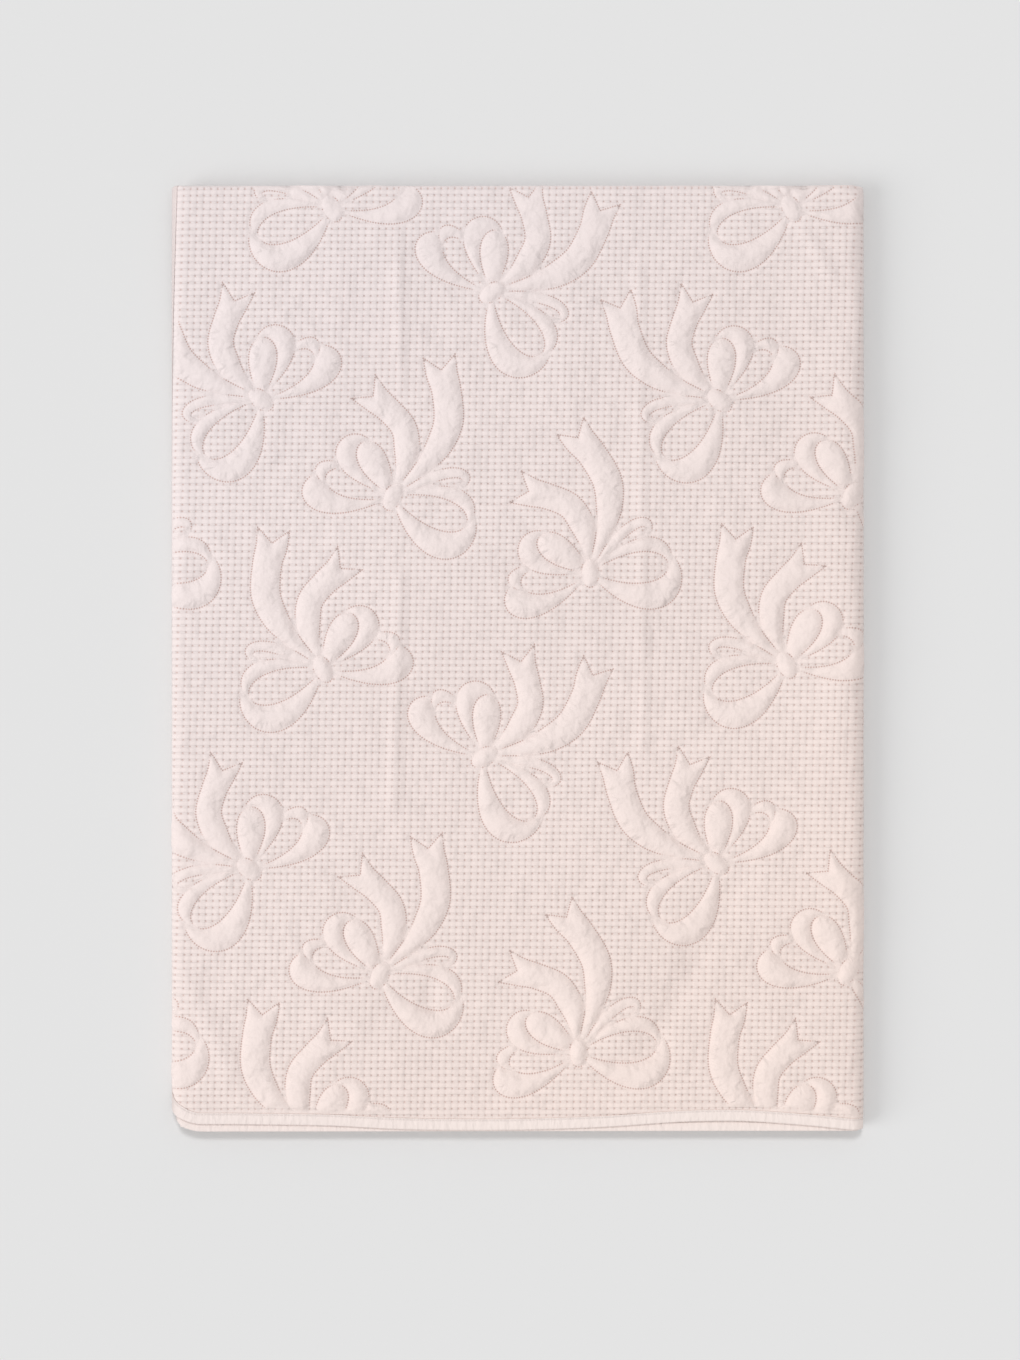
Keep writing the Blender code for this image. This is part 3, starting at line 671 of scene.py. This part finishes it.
class Quilting:
    """All points of the cloth that shows: seams, waffle cells and ribbons, with their heights."""

    def __init__(self):
        self.shapes = bow_shapes()
        self.bows = bow_places()
        self.spread = Spread()
        self.lines = []
        self.random = np.random.default_rng(11)
        self.wrinkles = self.random.random(4096)
        self.sample_seams()
        self.add_seams()
        self.add_cells()
        self.add_ribbons()

    def sample_seams(self):
        """Fine samples of every seam, to measure distances from."""
        self.seams = []
        local = bow_seams(self.shapes)
        for bow in self.bows:
            for seam in local:
                self.seams.append(to_cloth(seam, bow))
        samples = []
        for number, seam in enumerate(self.seams):
            for k, (x, y) in enumerate(resampled(seam, SEAM_SAMPLE)):
                samples.append((x, y, number, k * SEAM_SAMPLE))
        self.samples = samples
        self.tree = kdtree.KDTree(len(samples))
        for k, (x, y, _, _) in enumerate(samples):
            self.tree.insert((x, y, 0.0), k)
        self.tree.balance()

    def seam_near(self, x, y):
        """Distance to the nearest seam, and how far along it lies, with the seam's own start."""
        _, number, away = self.tree.find((x, y, 0.0))
        _, _, seam, along = self.samples[number]
        return away, along + 37.0 * seam

    def room(self, x, y):
        return edge_room(*cloth_sb(x, y))

    def add_seams(self):
        flanks = []
        for number, seam in enumerate(self.seams):
            line = resampled(seam, SEAM_STEP)
            heading = np.gradient(line, axis=0)
            heading /= np.maximum(np.linalg.norm(heading, axis=1), 1e-9)[:, None]
            before = None
            for k, (x, y) in enumerate(line):
                along = k * SEAM_STEP + 37.0 * number
                if self.room(x, y) < 2.0:
                    before = None
                    continue
                here = self.spread.near(x, y, 1.1)
                if here is None:
                    here = self.spread.add(x, y, kind="seam", along=along, away=0.0)
                if before is not None and before != here:
                    self.lines.append((before, here))
                before = here
                for side in (-1, 1):
                    fx = x - side * FLANK * heading[k, 1]
                    fy = y + side * FLANK * heading[k, 0]
                    flanks.append((fx, fy, along))
        flanks = [f for f in flanks if self.room(f[0], f[1]) > 2.0]
        ribbon = on_ribbon(np.array([f[:2] for f in flanks]), self.shapes, self.bows)
        for (x, y, along), is_ribbon in zip(flanks, ribbon):
            away, _ = self.seam_near(x, y)
            if away > FLANK - 0.6 and self.spread.near(x, y, 1.4) is None:
                kind = "ribbon" if is_ribbon else "ground"
                self.spread.add(x, y, kind=kind, along=along, away=away)

    def add_cells(self):
        """The welded dots at the corners of the waffle's cells, and the puffed tops between them."""
        spots = []
        half = (FOLDED_WIDTH / MM / 2 + 30, FOLDED_LENGTH / MM / 2 + 15)
        reach = int(max(half) / min(CELL_ACROSS[0], CELL_ALONG[1])) + 4
        for p in range(-reach, reach + 1):
            for q in range(-reach, reach + 1):
                x, y = p * CELL_ACROSS + q * CELL_ALONG
                if abs(x) > half[0] or abs(y) > half[1]:
                    continue
                spots.append((x, y, "pit"))
                for dp in (0.5 - CELL_TOP, 0.5 + CELL_TOP):
                    for dq in (0.5 - CELL_TOP, 0.5 + CELL_TOP):
                        tx, ty = (p + dp) * CELL_ACROSS + (q + dq) * CELL_ALONG
                        spots.append((tx, ty, "top"))
        ribbon = on_ribbon(np.array([spot[:2] for spot in spots]), self.shapes, self.bows)
        for (x, y, kind), is_ribbon in zip(spots, ribbon):
            if is_ribbon or self.room(x, y) < 1.5:
                continue
            away, along = self.seam_near(x, y)
            if away > CELL_CLEAR and self.spread.near(x, y, 1.2) is None:
                self.spread.add(x, y, kind=kind, along=along, away=away)

    def add_ribbons(self):
        pitch = RIBBON_STEP
        spots = []
        rows = int(FOLDED_LENGTH / MM / pitch) + 6
        columns = int(FOLDED_WIDTH / MM / pitch) + 12
        for row in range(rows):
            for column in range(columns):
                x = (column + 0.5 * (row % 2)) * pitch - FOLDED_WIDTH / MM / 2 - 20
                y = (row - 2) * pitch * 0.92 - FOLDED_LENGTH / MM / 2
                spots.append((x, y))
        spots = np.array(spots) + self.random.uniform(-0.5, 0.5, (len(spots), 2))
        chosen = spots[on_ribbon(spots, self.shapes, self.bows)]
        for x, y in chosen:
            if self.room(x, y) < 2.0:
                continue
            away, along = self.seam_near(x, y)
            if away > FLANK + 1.4 and self.spread.near(x, y, 2.0) is None:
                self.spread.add(x, y, kind="ribbon", along=along, away=away)

    def wrinkle(self, along, away):
        """Small folds that the seams pull into a ribbon, square to them."""
        place = along / WRINKLE_PITCH
        low = int(math.floor(place))
        t = smooth(place - low)
        size = len(self.wrinkles)
        level = self.wrinkles[low % size] * (1 - t) + self.wrinkles[(low + 1) % size] * t
        return WRINKLE * (level - 0.5) * 2 * smooth(away / 3.0) * smooth((13.0 - away) / 9.0)

    def height(self, x, y, facts):
        kind, away = facts["kind"], facts["away"]
        if kind in ("seam", "pit"):
            relief = 0.0
        elif kind == "ribbon":
            relief = RIBBON_PUFF * (1 - (1 - min(away / RIBBON_REACH, 1.0)) ** 2)
            relief += self.wrinkle(facts["along"], away)
        else:
            relief = GROUND_PUFF * (1 - (1 - min(away / GROUND_REACH, 1.0)) ** 2)
        return relief


class Net:
    """Points and lines in the flat cloth, kept apart from each other, for one triangulation."""

    def __init__(self, hides_panel):
        self.hides_panel = hides_panel
        self.points = []
        self.lines = []
        self.index = {}

    def shown(self, s, b):
        """Whether a place lies inside the cloth that is filled by the quilting."""
        return self.hides_panel and s < SHOWN_S - 1e-7 and b < SHOWN_B - 1e-7

    def add(self, s, b):
        key = (round(s / MM, 3), round(b / MM, 3))
        if key not in self.index:
            self.index[key] = len(self.points)
            self.points.append((s, b))
        return self.index[key]

    def line(self, points, ring=False):
        """Joins points that follow each other, but for those that the quilting fills."""
        for one, two in zip(points, points[1:]):
            if ring or not (self.shown(*one) or self.shown(*two)):
                a, b = self.add(*one), self.add(*two)
                if a != b:
                    self.lines.append((a, b))

    def triangles(self):
        flat = [Vector((s / MM, b / MM)) for s, b in self.points]
        made = delaunay_2d_cdt(flat, self.lines, [], 1, 1e-4)
        points = [(p.x * MM, p.y * MM) for p in made[0]]
        origins = [None] * len(points)
        for number, sources in enumerate(made[3]):
            if sources:
                points[number] = self.points[sources[0]]
                origins[number] = sources[0]
        return points, made[2], origins


def cloth_net(hides_panel):
    """The cloth inside its edge strips; hides_panel leaves out what the quilting fills."""
    net = Net(hides_panel)
    ring = edge_loop(PUFF_START)
    net.line(ring + ring[:1], ring=True)
    rows = side_rows(HIDDEN_STEP)
    fixed = arc_stations(RIGHT, RIGHT_STEPS) + arc_stations(LEFT, LEFT_STEPS)
    free = [s for run in (TOP, BOTTOM, MIDDLE) for s in run_stations(run, HIDDEN_STEP)]
    for s in fixed:
        column = [(s, hem_b(s, PUFF_START, False))] + [(s, b) for b in rows]
        net.line(column + [(s, hem_b(s, PUFF_START, True))])
    angles = corner_angles()
    inner = CORNER_RADIUS - PUFF_START
    for k in range(1, SHOULDER_STEPS + 1):
        line = [(shoulder_stations(row_y(b))[k], b) for b in rows]
        first = corner(CORNER_S, corner_centre(CORNER_S, False), inner, [angles[k]], -1, -1)
        last = corner(CORNER_S, corner_centre(CORNER_S, True), inner, [angles[k]], -1, 1)
        net.line(first + line + last)
    for b in turn_rows():
        crossing = shoulder_stations(row_y(b)) + sorted(fixed + free)
        net.line([(s, b) for s in crossing if s < LAST_S - PUFF_START] + [(LAST_S - PUFF_START, b)])
    for s in free:
        for b in rows:
            if not net.shown(s, b) and s < LAST_S - PUFF_START - 5 * MM:
                net.add(s, b)
    return net


class Shell:
    """A mesh put together from points of the flat cloth."""

    def __init__(self):
        self.points = []
        self.faces = []
        self.index = {}
        self.spots = []
        self.facts = []

    def point(self, s, b, w, side=None, **facts):
        key = (round(s / MM, 3), round(b / MM, 3), side if side is not None else round(w / MM, 3))
        if key not in self.index:
            self.index[key] = len(self.points)
            self.points.append(place(s, b, w))
            self.spots.append(cloth_xy(s, b))
            self.facts.append(facts)
        return self.index[key]

    def face(self, one, two, three, four, from_two=False):
        """Two triangles, split from the first corner or from the second."""
        if from_two:
            self.faces += [(one, two, four), (two, three, four)]
        else:
            self.faces += [(one, two, three), (one, three, four)]

    def build(self, name, material):
        mesh = bpy.data.meshes.new(name)
        mesh.from_pydata(self.points, [], self.faces)
        mesh.materials.append(material)
        mesh.shade_smooth()
        piece = bpy.data.objects.new(name, mesh)
        bpy.context.scene.collection.objects.link(piece)
        return piece


def strip(shell, loop_a, loop_b, wa, wb, inwards=False):
    """Faces between two loops of matching points; inwards says that b lies further from the edge."""
    for k in range(len(loop_a)):
        after = (k + 1) % len(loop_a)
        shell.face(
            shell.point(*loop_a[k], wa),
            shell.point(*loop_a[after], wa),
            shell.point(*loop_b[after], wb),
            shell.point(*loop_b[k], wb),
            inwards,
        )


def write_uv(mesh, name, pairs, around=None):
    """A UV map from one pair of numbers for each vertex, going on past the start where the piece closes."""
    layer = mesh.uv_layers.new(name=name)
    corners = np.empty(len(mesh.loops), dtype=np.int32)
    mesh.loops.foreach_get("vertex_index", corners)
    uv = np.asarray(pairs, dtype=np.float32)[corners]
    if around is not None:
        run = uv[:, 0].reshape(-1, 3).copy()
        closing = np.ptp(run, axis=1) > around / 2
        run[closing[:, None] & (run < around / 2)] += around
        uv[:, 0] = run.ravel()
    layer.data.foreach_set("uv", uv.ravel())


def write_value(mesh, name, values):
    layer = mesh.attributes.new(name, "FLOAT", "POINT")
    layer.data.foreach_set("value", np.asarray(values, dtype=np.float32))


def make_cloth(material):
    """The folded cloth: its outer and inner face, closed round the edge, with the quilting on top."""
    shell = Shell()
    quilting = Quilting()
    outer = cloth_net(True)
    quilted = {}
    for (x, y), facts in zip(quilting.spread.points, quilting.spread.facts):
        quilted[outer.add(*cloth_sb(x, y))] = facts
    numbers = [outer.add(*cloth_sb(x, y)) for x, y in quilting.spread.points]
    outer.lines += [(numbers[a], numbers[b]) for a, b in quilting.lines]
    inner = cloth_net(False)
    for net, side in ((outer, 1), (inner, -1)):
        points, faces, origins = net.triangles()
        made = []
        for (s, b), origin in zip(points, origins):
            facts = quilted.get(origin) if side == 1 else None
            lift = 0.0
            if facts:
                x, y = cloth_xy(s, b)
                fade = smooth(edge_room(s, b) / EDGE_FADE)
                on_top = smooth((RIGHT.start - s) / FOLD_FADE)
                relief = FOLD_RELIEF + (1 - FOLD_RELIEF) * smooth((RIGHT.start + FOLD_FADE / 2 - s) / FOLD_FADE)
                lift = fade * (relief * quilting.height(x, y, facts) + on_top * crease_height(x, y)) * MM
            made.append(shell.point(s, b, side * PLY / 2 + lift, None if not facts else "quilted", **(facts or {})))
        shell.faces += [tuple(made[n] for n in face[::side]) for face in faces]
    rings = [edge_loop(u) for u in (0.0, TAPE_WIDTH / 2, TAPE_WIDTH, (TAPE_WIDTH + PUFF_START) / 2, PUFF_START)]
    slope = PRESSED_HALF + 0.7 * (PLY / 2 - PRESSED_HALF)
    halves = (PRESSED_HALF, PRESSED_HALF, PRESSED_HALF, slope, PLY / 2)
    for near, far, near_half, far_half in zip(rings, rings[1:], halves, halves[1:]):
        strip(shell, far, near, far_half, near_half)
        strip(shell, near, far, -near_half, -far_half, True)
    strip(shell, rings[0], rings[0], PRESSED_HALF, -PRESSED_HALF)
    piece = shell.build("quilted_cloth", material)
    kinds = [facts.get("kind", "ground") for facts in shell.facts]
    write_uv(piece.data, "cells", cells_at(np.array(shell.spots)))
    along = [facts.get("along", 0.0) for facts in shell.facts]
    away = [facts.get("away", 9.0) for facts in shell.facts]
    write_uv(piece.data, "seams", np.stack([along, away], axis=1))
    write_value(piece.data, "ground", [1.0 if kind in ("ground", "pit", "top") else 0.0 for kind in kinds])
    write_value(piece.data, "one_seam", one_seam(shell.faces, along))
    return piece


def one_seam(faces, along):
    """One at points whose triangles all lie by the same seam, so that it can be followed."""
    corners = np.array(faces)
    places = np.array(along)[corners]
    mixed = corners[np.ptp(places, axis=1) > SEAM_JUMP]
    values = np.ones(len(along))
    values[mixed.ravel()] = 0.0
    return values


TAPE_SECTION = (
    (11.0, 1.45), (10.6, 1.62), (9.9, 1.55), (9.3, 1.36), (8.6, 1.52), (7.6, 1.6), (5.5, 1.62), (2.75, 1.6),
    (0.4, 1.5), (-0.35, 1.3), (-0.78, 0.8), (-0.9, 0.0), (-0.78, -0.8), (-0.35, -1.3), (0.4, -1.5),
    (2.75, -1.58), (5.5, -1.58), (7.6, -1.58), (8.6, -1.52), (9.3, -1.36), (9.9, -1.55), (10.6, -1.58),
    (11.0, -1.45), (11.0, -1.0), (5.5, -1.0), (-0.3, -1.0), (-0.3, 1.0), (5.5, 1.0), (11.0, 1.0),
)


def make_tape(material):
    """The tape folded over the edge, all the way round."""
    shell = Shell()
    loops = [(edge_loop(u * MM), w * MM, u) for u, w in TAPE_SECTION]
    for (loop_a, wa, ua), (loop_b, wb, ub) in zip(loops, loops[1:] + loops[:1]):
        strip(shell, loop_a, loop_b, wa, wb, ub > ua)
    piece = shell.build("edge_binding", material)
    run = edge_lengths()
    pairs = {}
    for loop, _, u in loops:
        for k, (s, b) in enumerate(loop):
            pairs[(round(s / MM, 3), round(b / MM, 3))] = (run[k], u)
    uv = [pairs[key[:2]] for key in shell.index]
    write_uv(piece.data, "tape", uv, run[-1])
    # The side value darkens the tape's colour down the left shoulder: painted shade
    write_value(piece.data, "side", [smooth(-key[0] / SIDE_SHADE) for key in shell.index])
    return piece


def edge_lengths():
    """How far along the edge each point of its loop lies, in millimetres."""
    loop = np.array(edge_loop(0.0)) / MM
    return np.append(0.0, np.cumsum(np.linalg.norm(np.diff(loop, axis=0), axis=1)))


def make_stitches(material):
    """The line of stitches that holds the tape, on both of its faces."""
    loop = edge_loop(STITCH_INSIDE * MM)
    points = np.array(loop + loop[:1])
    run = np.append(0.0, np.cumsum(np.linalg.norm(np.diff(points, axis=0), axis=1))) / MM
    count = int(run[-1] / STITCH_PITCH)
    vertices, faces = [], []
    for face in (1, -1):
        for k in range(count):
            ends = []
            for share in (-0.5, -0.3, 0.0, 0.3, 0.5):
                place_along = (k + 0.5) * run[-1] / count + share * STITCH_LENGTH
                s = float(np.interp(place_along, run, points[:, 0]))
                b = float(np.interp(place_along, run, points[:, 1]))
                rise = STITCH_RADIUS * (0.75 - 2.2 * share**2) * 2
                ends.append((s, b, rise))
            add_stitch(vertices, faces, ends, face)
    mesh = bpy.data.meshes.new("binding_stitches")
    mesh.from_pydata(vertices, [], faces)
    mesh.materials.append(material)
    mesh.shade_smooth()
    piece = bpy.data.objects.new("binding_stitches", mesh)
    bpy.context.scene.collection.objects.link(piece)
    return piece


def add_stitch(vertices, faces, stations, face):
    """One stitch: a low round ridge of thread whose ends sink into the tape."""
    first = len(vertices)
    surface = STITCH_BED * MM
    (s0, b0, _), (s1, b1, _) = stations[0], stations[-1]
    length = math.hypot(s1 - s0, b1 - b0)
    across = (-(b1 - b0) / length, (s1 - s0) / length)
    for s, b, rise in stations:
        for side, up in ((-1.0, 0.0), (-0.6, 0.8), (0.6, 0.8), (1.0, 0.0)):
            off = side * STITCH_RADIUS * MM
            w = face * (surface + max(up * rise * MM, -0.05 * MM))
            vertices.append(place(s + across[0] * off, b + across[1] * off, w))
    rows = len(stations)
    for row in range(rows - 1):
        for column in range(4):
            a = first + row * 4 + column
            b = first + row * 4 + (column + 1) % 4
            quad = (a, b, b + 4, a + 4)
            faces.append(quad[::face])
    faces.append(tuple(first + n for n in ((3, 2, 1, 0) if face == 1 else (0, 1, 2, 3))))
    last = first + (rows - 1) * 4
    faces.append(tuple(last + n for n in ((0, 1, 2, 3) if face == 1 else (3, 2, 1, 0))))


class Nodes:
    """Short ways to put a material's nodes together."""

    def __init__(self, name):
        self.material = bpy.data.materials.new(name)
        self.material.use_nodes = True
        self.tree = self.material.node_tree
        self.shader = self.tree.nodes["Principled BSDF"]

    def set(self, socket, value):
        if isinstance(value, bpy.types.NodeSocket):
            self.tree.links.new(value, socket)
        else:
            socket.default_value = value

    def math(self, operation, *values, clamp=False):
        node = self.tree.nodes.new("ShaderNodeMath")
        node.operation = operation
        node.use_clamp = clamp
        for socket, value in zip(node.inputs, values):
            self.set(socket, value)
        return node.outputs[0]

    def sum(self, *values):
        total = values[0]
        for value in values[1:]:
            total = self.math("ADD", total, value)
        return total

    def scaled(self, value, amount):
        return self.math("MULTIPLY", value, amount)

    def bell(self, value, width):
        """One where the value is 0, falling away to nothing past the width."""
        share = self.math("DIVIDE", value, width)
        return self.math("EXPONENT", self.scaled(self.math("MULTIPLY", share, share), -1.0))

    def whole_distance(self, value):
        """Distance from the nearest whole number."""
        return self.math("ABSOLUTE", self.math("SUBTRACT", value, self.math("ROUND", value)))

    def uv(self, name):
        node = self.tree.nodes.new("ShaderNodeUVMap")
        node.uv_map = name
        return node.outputs[0]

    def first_two(self, vector):
        split = self.tree.nodes.new("ShaderNodeSeparateXYZ")
        self.tree.links.new(vector, split.inputs[0])
        return split.outputs[0], split.outputs[1]

    def value(self, name):
        node = self.tree.nodes.new("ShaderNodeAttribute")
        node.attribute_name = name
        return node.outputs["Fac"]

    def noise(self, vector, scale, detail=2.0, stretch=None):
        node = self.tree.nodes.new("ShaderNodeTexNoise")
        node.inputs["Scale"].default_value = scale
        node.inputs["Detail"].default_value = detail
        if stretch is not None:
            mapping = self.tree.nodes.new("ShaderNodeMapping")
            mapping.inputs["Scale"].default_value = stretch
            self.tree.links.new(vector, mapping.inputs["Vector"])
            vector = mapping.outputs[0]
        self.tree.links.new(vector, node.inputs["Vector"])
        return self.math("SUBTRACT", node.outputs["Fac"], 0.5)

    def position(self):
        return self.tree.nodes.new("ShaderNodeTexCoord").outputs["Object"]

    def mix(self, amount, one, two):
        node = self.tree.nodes.new("ShaderNodeMix")
        node.data_type = "RGBA"
        self.set(node.inputs[0], amount)
        self.set(node.inputs[6], one)
        self.set(node.inputs[7], two)
        return node.outputs[2]

    def warmed(self, x, y, cool, warm):
        """From the cool colour at the far left to the warm one at the near right."""
        warmth = self.math("ADD", self.sum(self.scaled(x, 0.8), self.scaled(y, -0.95)), 0.5, clamp=True)
        return self.mix(warmth, cool, warm)

    def brighten(self, colour, amount):
        """A colour, lighter or darker by a signed share."""
        node = self.tree.nodes.new("ShaderNodeVectorMath")
        node.operation = "SCALE"
        self.set(node.inputs[0], colour if isinstance(colour, bpy.types.NodeSocket) else colour[:3])
        self.set(node.inputs["Scale"], self.math("ADD", amount, 1.0))
        return node.outputs[0]

    def bump(self, height, strength=1.0):
        """Bump from a height in millimetres."""
        node = self.tree.nodes.new("ShaderNodeBump")
        node.inputs["Strength"].default_value = strength
        node.inputs["Distance"].default_value = 1.35 * MM
        self.set(node.inputs["Height"], height)
        self.tree.links.new(node.outputs[0], self.shader.inputs["Normal"])

    def finish(self, roughness, sheen, sheen_roughness, specular):
        self.shader.inputs["Roughness"].default_value = roughness
        self.shader.inputs["Specular IOR Level"].default_value = specular
        self.shader.inputs["Sheen Weight"].default_value = sheen
        self.shader.inputs["Sheen Roughness"].default_value = sheen_roughness
        return self.material


def linear(red, green, blue):
    """A colour given as a screen shows it, from 0 to 255."""
    parts = []
    for part in (red, green, blue):
        share = part / 255
        parts.append(share / 12.92 if share <= 0.04045 else ((share + 0.055) / 1.055) ** 2.4)
    return (*parts, 1.0)


COOL_COLOUR = linear(236, 224, 223)
WARM_COLOUR = linear(239, 222, 215)
WELD_COLOUR = linear(213, 173, 162)
COOL_TAPE_COLOUR = linear(237, 224, 222)
WARM_TAPE_COLOUR = linear(241, 227, 221)
THREAD_COLOUR = linear(232, 219, 215)


FLOOR_COLOUR = linear(226, 226, 226)


def cloth_material():
    """Brushed microfibre, welded in small dots: a waffle of cells, and fine lines round the bows."""
    nodes = Nodes("quilted_microfibre")
    p, q = nodes.first_two(nodes.uv("cells"))
    along, away = nodes.first_two(nodes.uv("seams"))
    ground = nodes.value("ground")
    one_seam = nodes.value("one_seam")
    off_p = nodes.whole_distance(p)
    off_q = nodes.whole_distance(q)
    dot = nodes.math("MULTIPLY", nodes.bell(off_p, 0.125), nodes.bell(off_q, 0.115))
    dot = nodes.math("MULTIPLY", dot, ground)
    row_groove = nodes.math("MULTIPLY", nodes.bell(off_q, 0.17), ground)
    column_groove = nodes.math("MULTIPLY", nodes.bell(off_p, 0.16), ground)
    step = nodes.scaled(nodes.whole_distance(nodes.scaled(along, 1 / SEAM_DOT_PITCH)), SEAM_DOT_PITCH)
    seam_line = nodes.bell(away, 0.8)
    seam_dot = nodes.math("MULTIPLY", nodes.bell(away, 0.72), nodes.bell(step, 0.7))
    seam_dot = nodes.math("MULTIPLY", seam_dot, one_seam)
    spot = nodes.position()
    drape = nodes.noise(spot, 28.0, 2.0)
    crumple = nodes.noise(spot, 80.0, 2.0)
    nap = nodes.noise(spot, 60.0, 3.0)
    fuzz = nodes.noise(spot, 1500.0, 2.0)
    joined = nodes.tree.nodes.new("ShaderNodeCombineXYZ")
    nodes.set(joined.inputs[0], nodes.scaled(along, 0.12))
    nodes.set(joined.inputs[1], nodes.scaled(away, 0.05))
    pull = nodes.noise(joined.outputs[0], 1.0, 1.5)
    patch = nodes.math("ADD", nodes.scaled(nodes.noise(spot, 14.0, 0.0), 2.6), 0.7, clamp=True)
    near_seam = nodes.math("MULTIPLY", nodes.bell(nodes.math("SUBTRACT", away, 6.0), 6.5), patch)
    smooth_part = nodes.math("MULTIPLY", nodes.math("SUBTRACT", 1.0, ground), one_seam)
    pulled = nodes.math("MULTIPLY", nodes.math("MULTIPLY", pull, near_seam), smooth_part)
    height = nodes.sum(
        nodes.scaled(row_groove, -0.42),
        nodes.scaled(column_groove, -0.1),
        nodes.scaled(dot, -0.28),
        nodes.scaled(seam_dot, -0.5),
        nodes.scaled(drape, 4.0),
        nodes.math("MULTIPLY", crumple, nodes.sum(nodes.scaled(ground, -1.1), 2.2)),
        nodes.scaled(pulled, 3.2),
        nodes.scaled(fuzz, 0.05),
    )
    nodes.bump(height)
    weld = nodes.math("MAXIMUM", nodes.scaled(dot, 0.62), nodes.scaled(seam_dot, 1.0))
    x, y = nodes.first_two(spot)
    cloth = nodes.warmed(x, y, COOL_COLOUR, WARM_COLOUR)
    colour = nodes.mix(weld, cloth, WELD_COLOUR)
    shade = nodes.sum(
        # Lighter towards the left and the bottom, where the light comes from: painted light
        nodes.scaled(x, -0.03),
        nodes.scaled(y, -0.025),
        nodes.scaled(nodes.noise(spot, 5.0, 1.0), 0.06),
        nodes.scaled(nap, 0.065),
        nodes.scaled(fuzz, 0.16),
        # Darker along the waffle's grooves between the cells: painted shade
        nodes.scaled(row_groove, -0.035),
        nodes.scaled(column_groove, -0.008),
        # Darker along each seam's line: painted shade in its groove
        nodes.scaled(seam_line, -0.03),
    )
    nodes.set(nodes.shader.inputs["Base Color"], nodes.brighten(colour, shade))
    return nodes.finish(0.82, 0.18, 0.5, 0.25)


def tape_material():
    """Smooth knitted tape, with fine ribs across it and soft puckers where it is sewn."""
    nodes = Nodes("woven_tape")
    run, across = nodes.first_two(nodes.uv("tape"))
    spot = nodes.position()
    ribs = nodes.bell(nodes.whole_distance(nodes.scaled(run, 1 / 0.8)), 0.3)
    joined = nodes.tree.nodes.new("ShaderNodeCombineXYZ")
    nodes.set(joined.inputs[0], run)
    nodes.set(joined.inputs[1], nodes.scaled(across, 0.35))
    pucker = nodes.noise(joined.outputs[0], 0.16, 2.0)
    fuzz = nodes.noise(spot, 1800.0, 2.0)
    groove = nodes.bell(nodes.math("SUBTRACT", across, STITCH_INSIDE), 0.8)
    height = nodes.sum(
        nodes.scaled(ribs, 0.03),
        nodes.scaled(pucker, 1.3),
        nodes.scaled(fuzz, 0.04),
        nodes.scaled(groove, -0.25),
    )
    nodes.bump(height)
    shade = nodes.sum(
        nodes.scaled(fuzz, 0.07),
        nodes.scaled(ribs, 0.02),
        # Darker in the stitched groove: painted shade
        nodes.scaled(groove, -0.05),
        # Darker down the left shoulder, from the side value: painted shade
        nodes.scaled(nodes.value("side"), -0.2),
    )
    x, y = nodes.first_two(spot)
    colour = nodes.warmed(x, y, COOL_TAPE_COLOUR, WARM_TAPE_COLOUR)
    nodes.set(nodes.shader.inputs["Base Color"], nodes.brighten(colour, shade))
    return nodes.finish(0.62, 0.1, 0.4, 0.35)


def thread_material():
    nodes = Nodes("sewing_thread")
    twist = nodes.noise(nodes.position(), 2500.0, 1.0)
    nodes.bump(nodes.scaled(twist, 0.06))
    nodes.set(nodes.shader.inputs["Base Color"], nodes.brighten(THREAD_COLOUR, nodes.scaled(twist, 0.12)))
    return nodes.finish(0.5, 0.05, 0.4, 0.4)


def floor_material():
    nodes = Nodes("studio_floor")
    nodes.shader.inputs["Base Color"].default_value = FLOOR_COLOUR
    return nodes.finish(0.9, 0.0, 0.5, 0.1)


def make_floor():
    bpy.ops.mesh.primitive_plane_add(size=80.0, location=(0, 0, 0))
    floor = bpy.context.object
    floor.name = "studio_floor"
    floor.data.materials.append(floor_material())


def broad_light(name, heading, height, share, spread):
    """Soft even light from one side; angles in degrees, share of what a white floor gives back."""
    data = bpy.data.lights.new(name, "SUN")
    data.energy = share * math.pi / math.sin(math.radians(height))
    data.angle = math.radians(spread)
    light = bpy.data.objects.new(name, data)
    level = math.cos(math.radians(height))
    place_at = Vector((
        level * math.cos(math.radians(heading)),
        level * math.sin(math.radians(heading)),
        math.sin(math.radians(height)),
    ))
    light.location = 3 * place_at
    light.rotation_euler = (-place_at).to_track_quat("-Z", "Y").to_euler()
    bpy.context.scene.collection.objects.link(light)


def make_light():
    """Soft light all round, more of it from the left and from beyond the top edge."""
    world = bpy.data.worlds.new("studio")
    world.use_nodes = True
    back = world.node_tree.nodes["Background"]
    back.inputs["Color"].default_value = (1.0, 1.0, 1.0, 1.0)
    back.inputs["Strength"].default_value = 0.575
    bpy.context.scene.world = world
    broad_light("key", 198.0, 30.0, 0.185, 36.0)
    broad_light("top", 90.0, 62.0, 0.26, 12.0)
    bpy.context.scene.view_settings.view_transform = "Standard"


def make_camera():
    """Straight down, with the whole picture's frame on the top of the bedspread."""
    data = bpy.data.cameras.new("camera")
    data.lens = LENS
    data.sensor_width = SENSOR
    data.sensor_fit = "AUTO"
    across = PICTURE_LONG * MM_PER_PIXEL * MM
    camera = bpy.data.objects.new("camera", data)
    x = (PICTURE_CENTRE_PIXEL[0] - OBJECT_CENTRE_PIXEL[0]) * MM_PER_PIXEL * MM
    y = (OBJECT_CENTRE_PIXEL[1] - PICTURE_CENTRE_PIXEL[1]) * MM_PER_PIXEL * MM
    camera.location = (x, y, across * LENS / SENSOR + TOP_Z)
    bpy.context.scene.collection.objects.link(camera)
    bpy.context.scene.camera = camera


def main():
    make_camera()
    cloth = make_cloth(cloth_material())
    tape = make_tape(tape_material())
    stitches = make_stitches(thread_material())
    for piece in (cloth, tape, stitches):
        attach(piece, "root")
    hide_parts("quilt")
    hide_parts("binding")
    make_floor()
    make_light()


main()
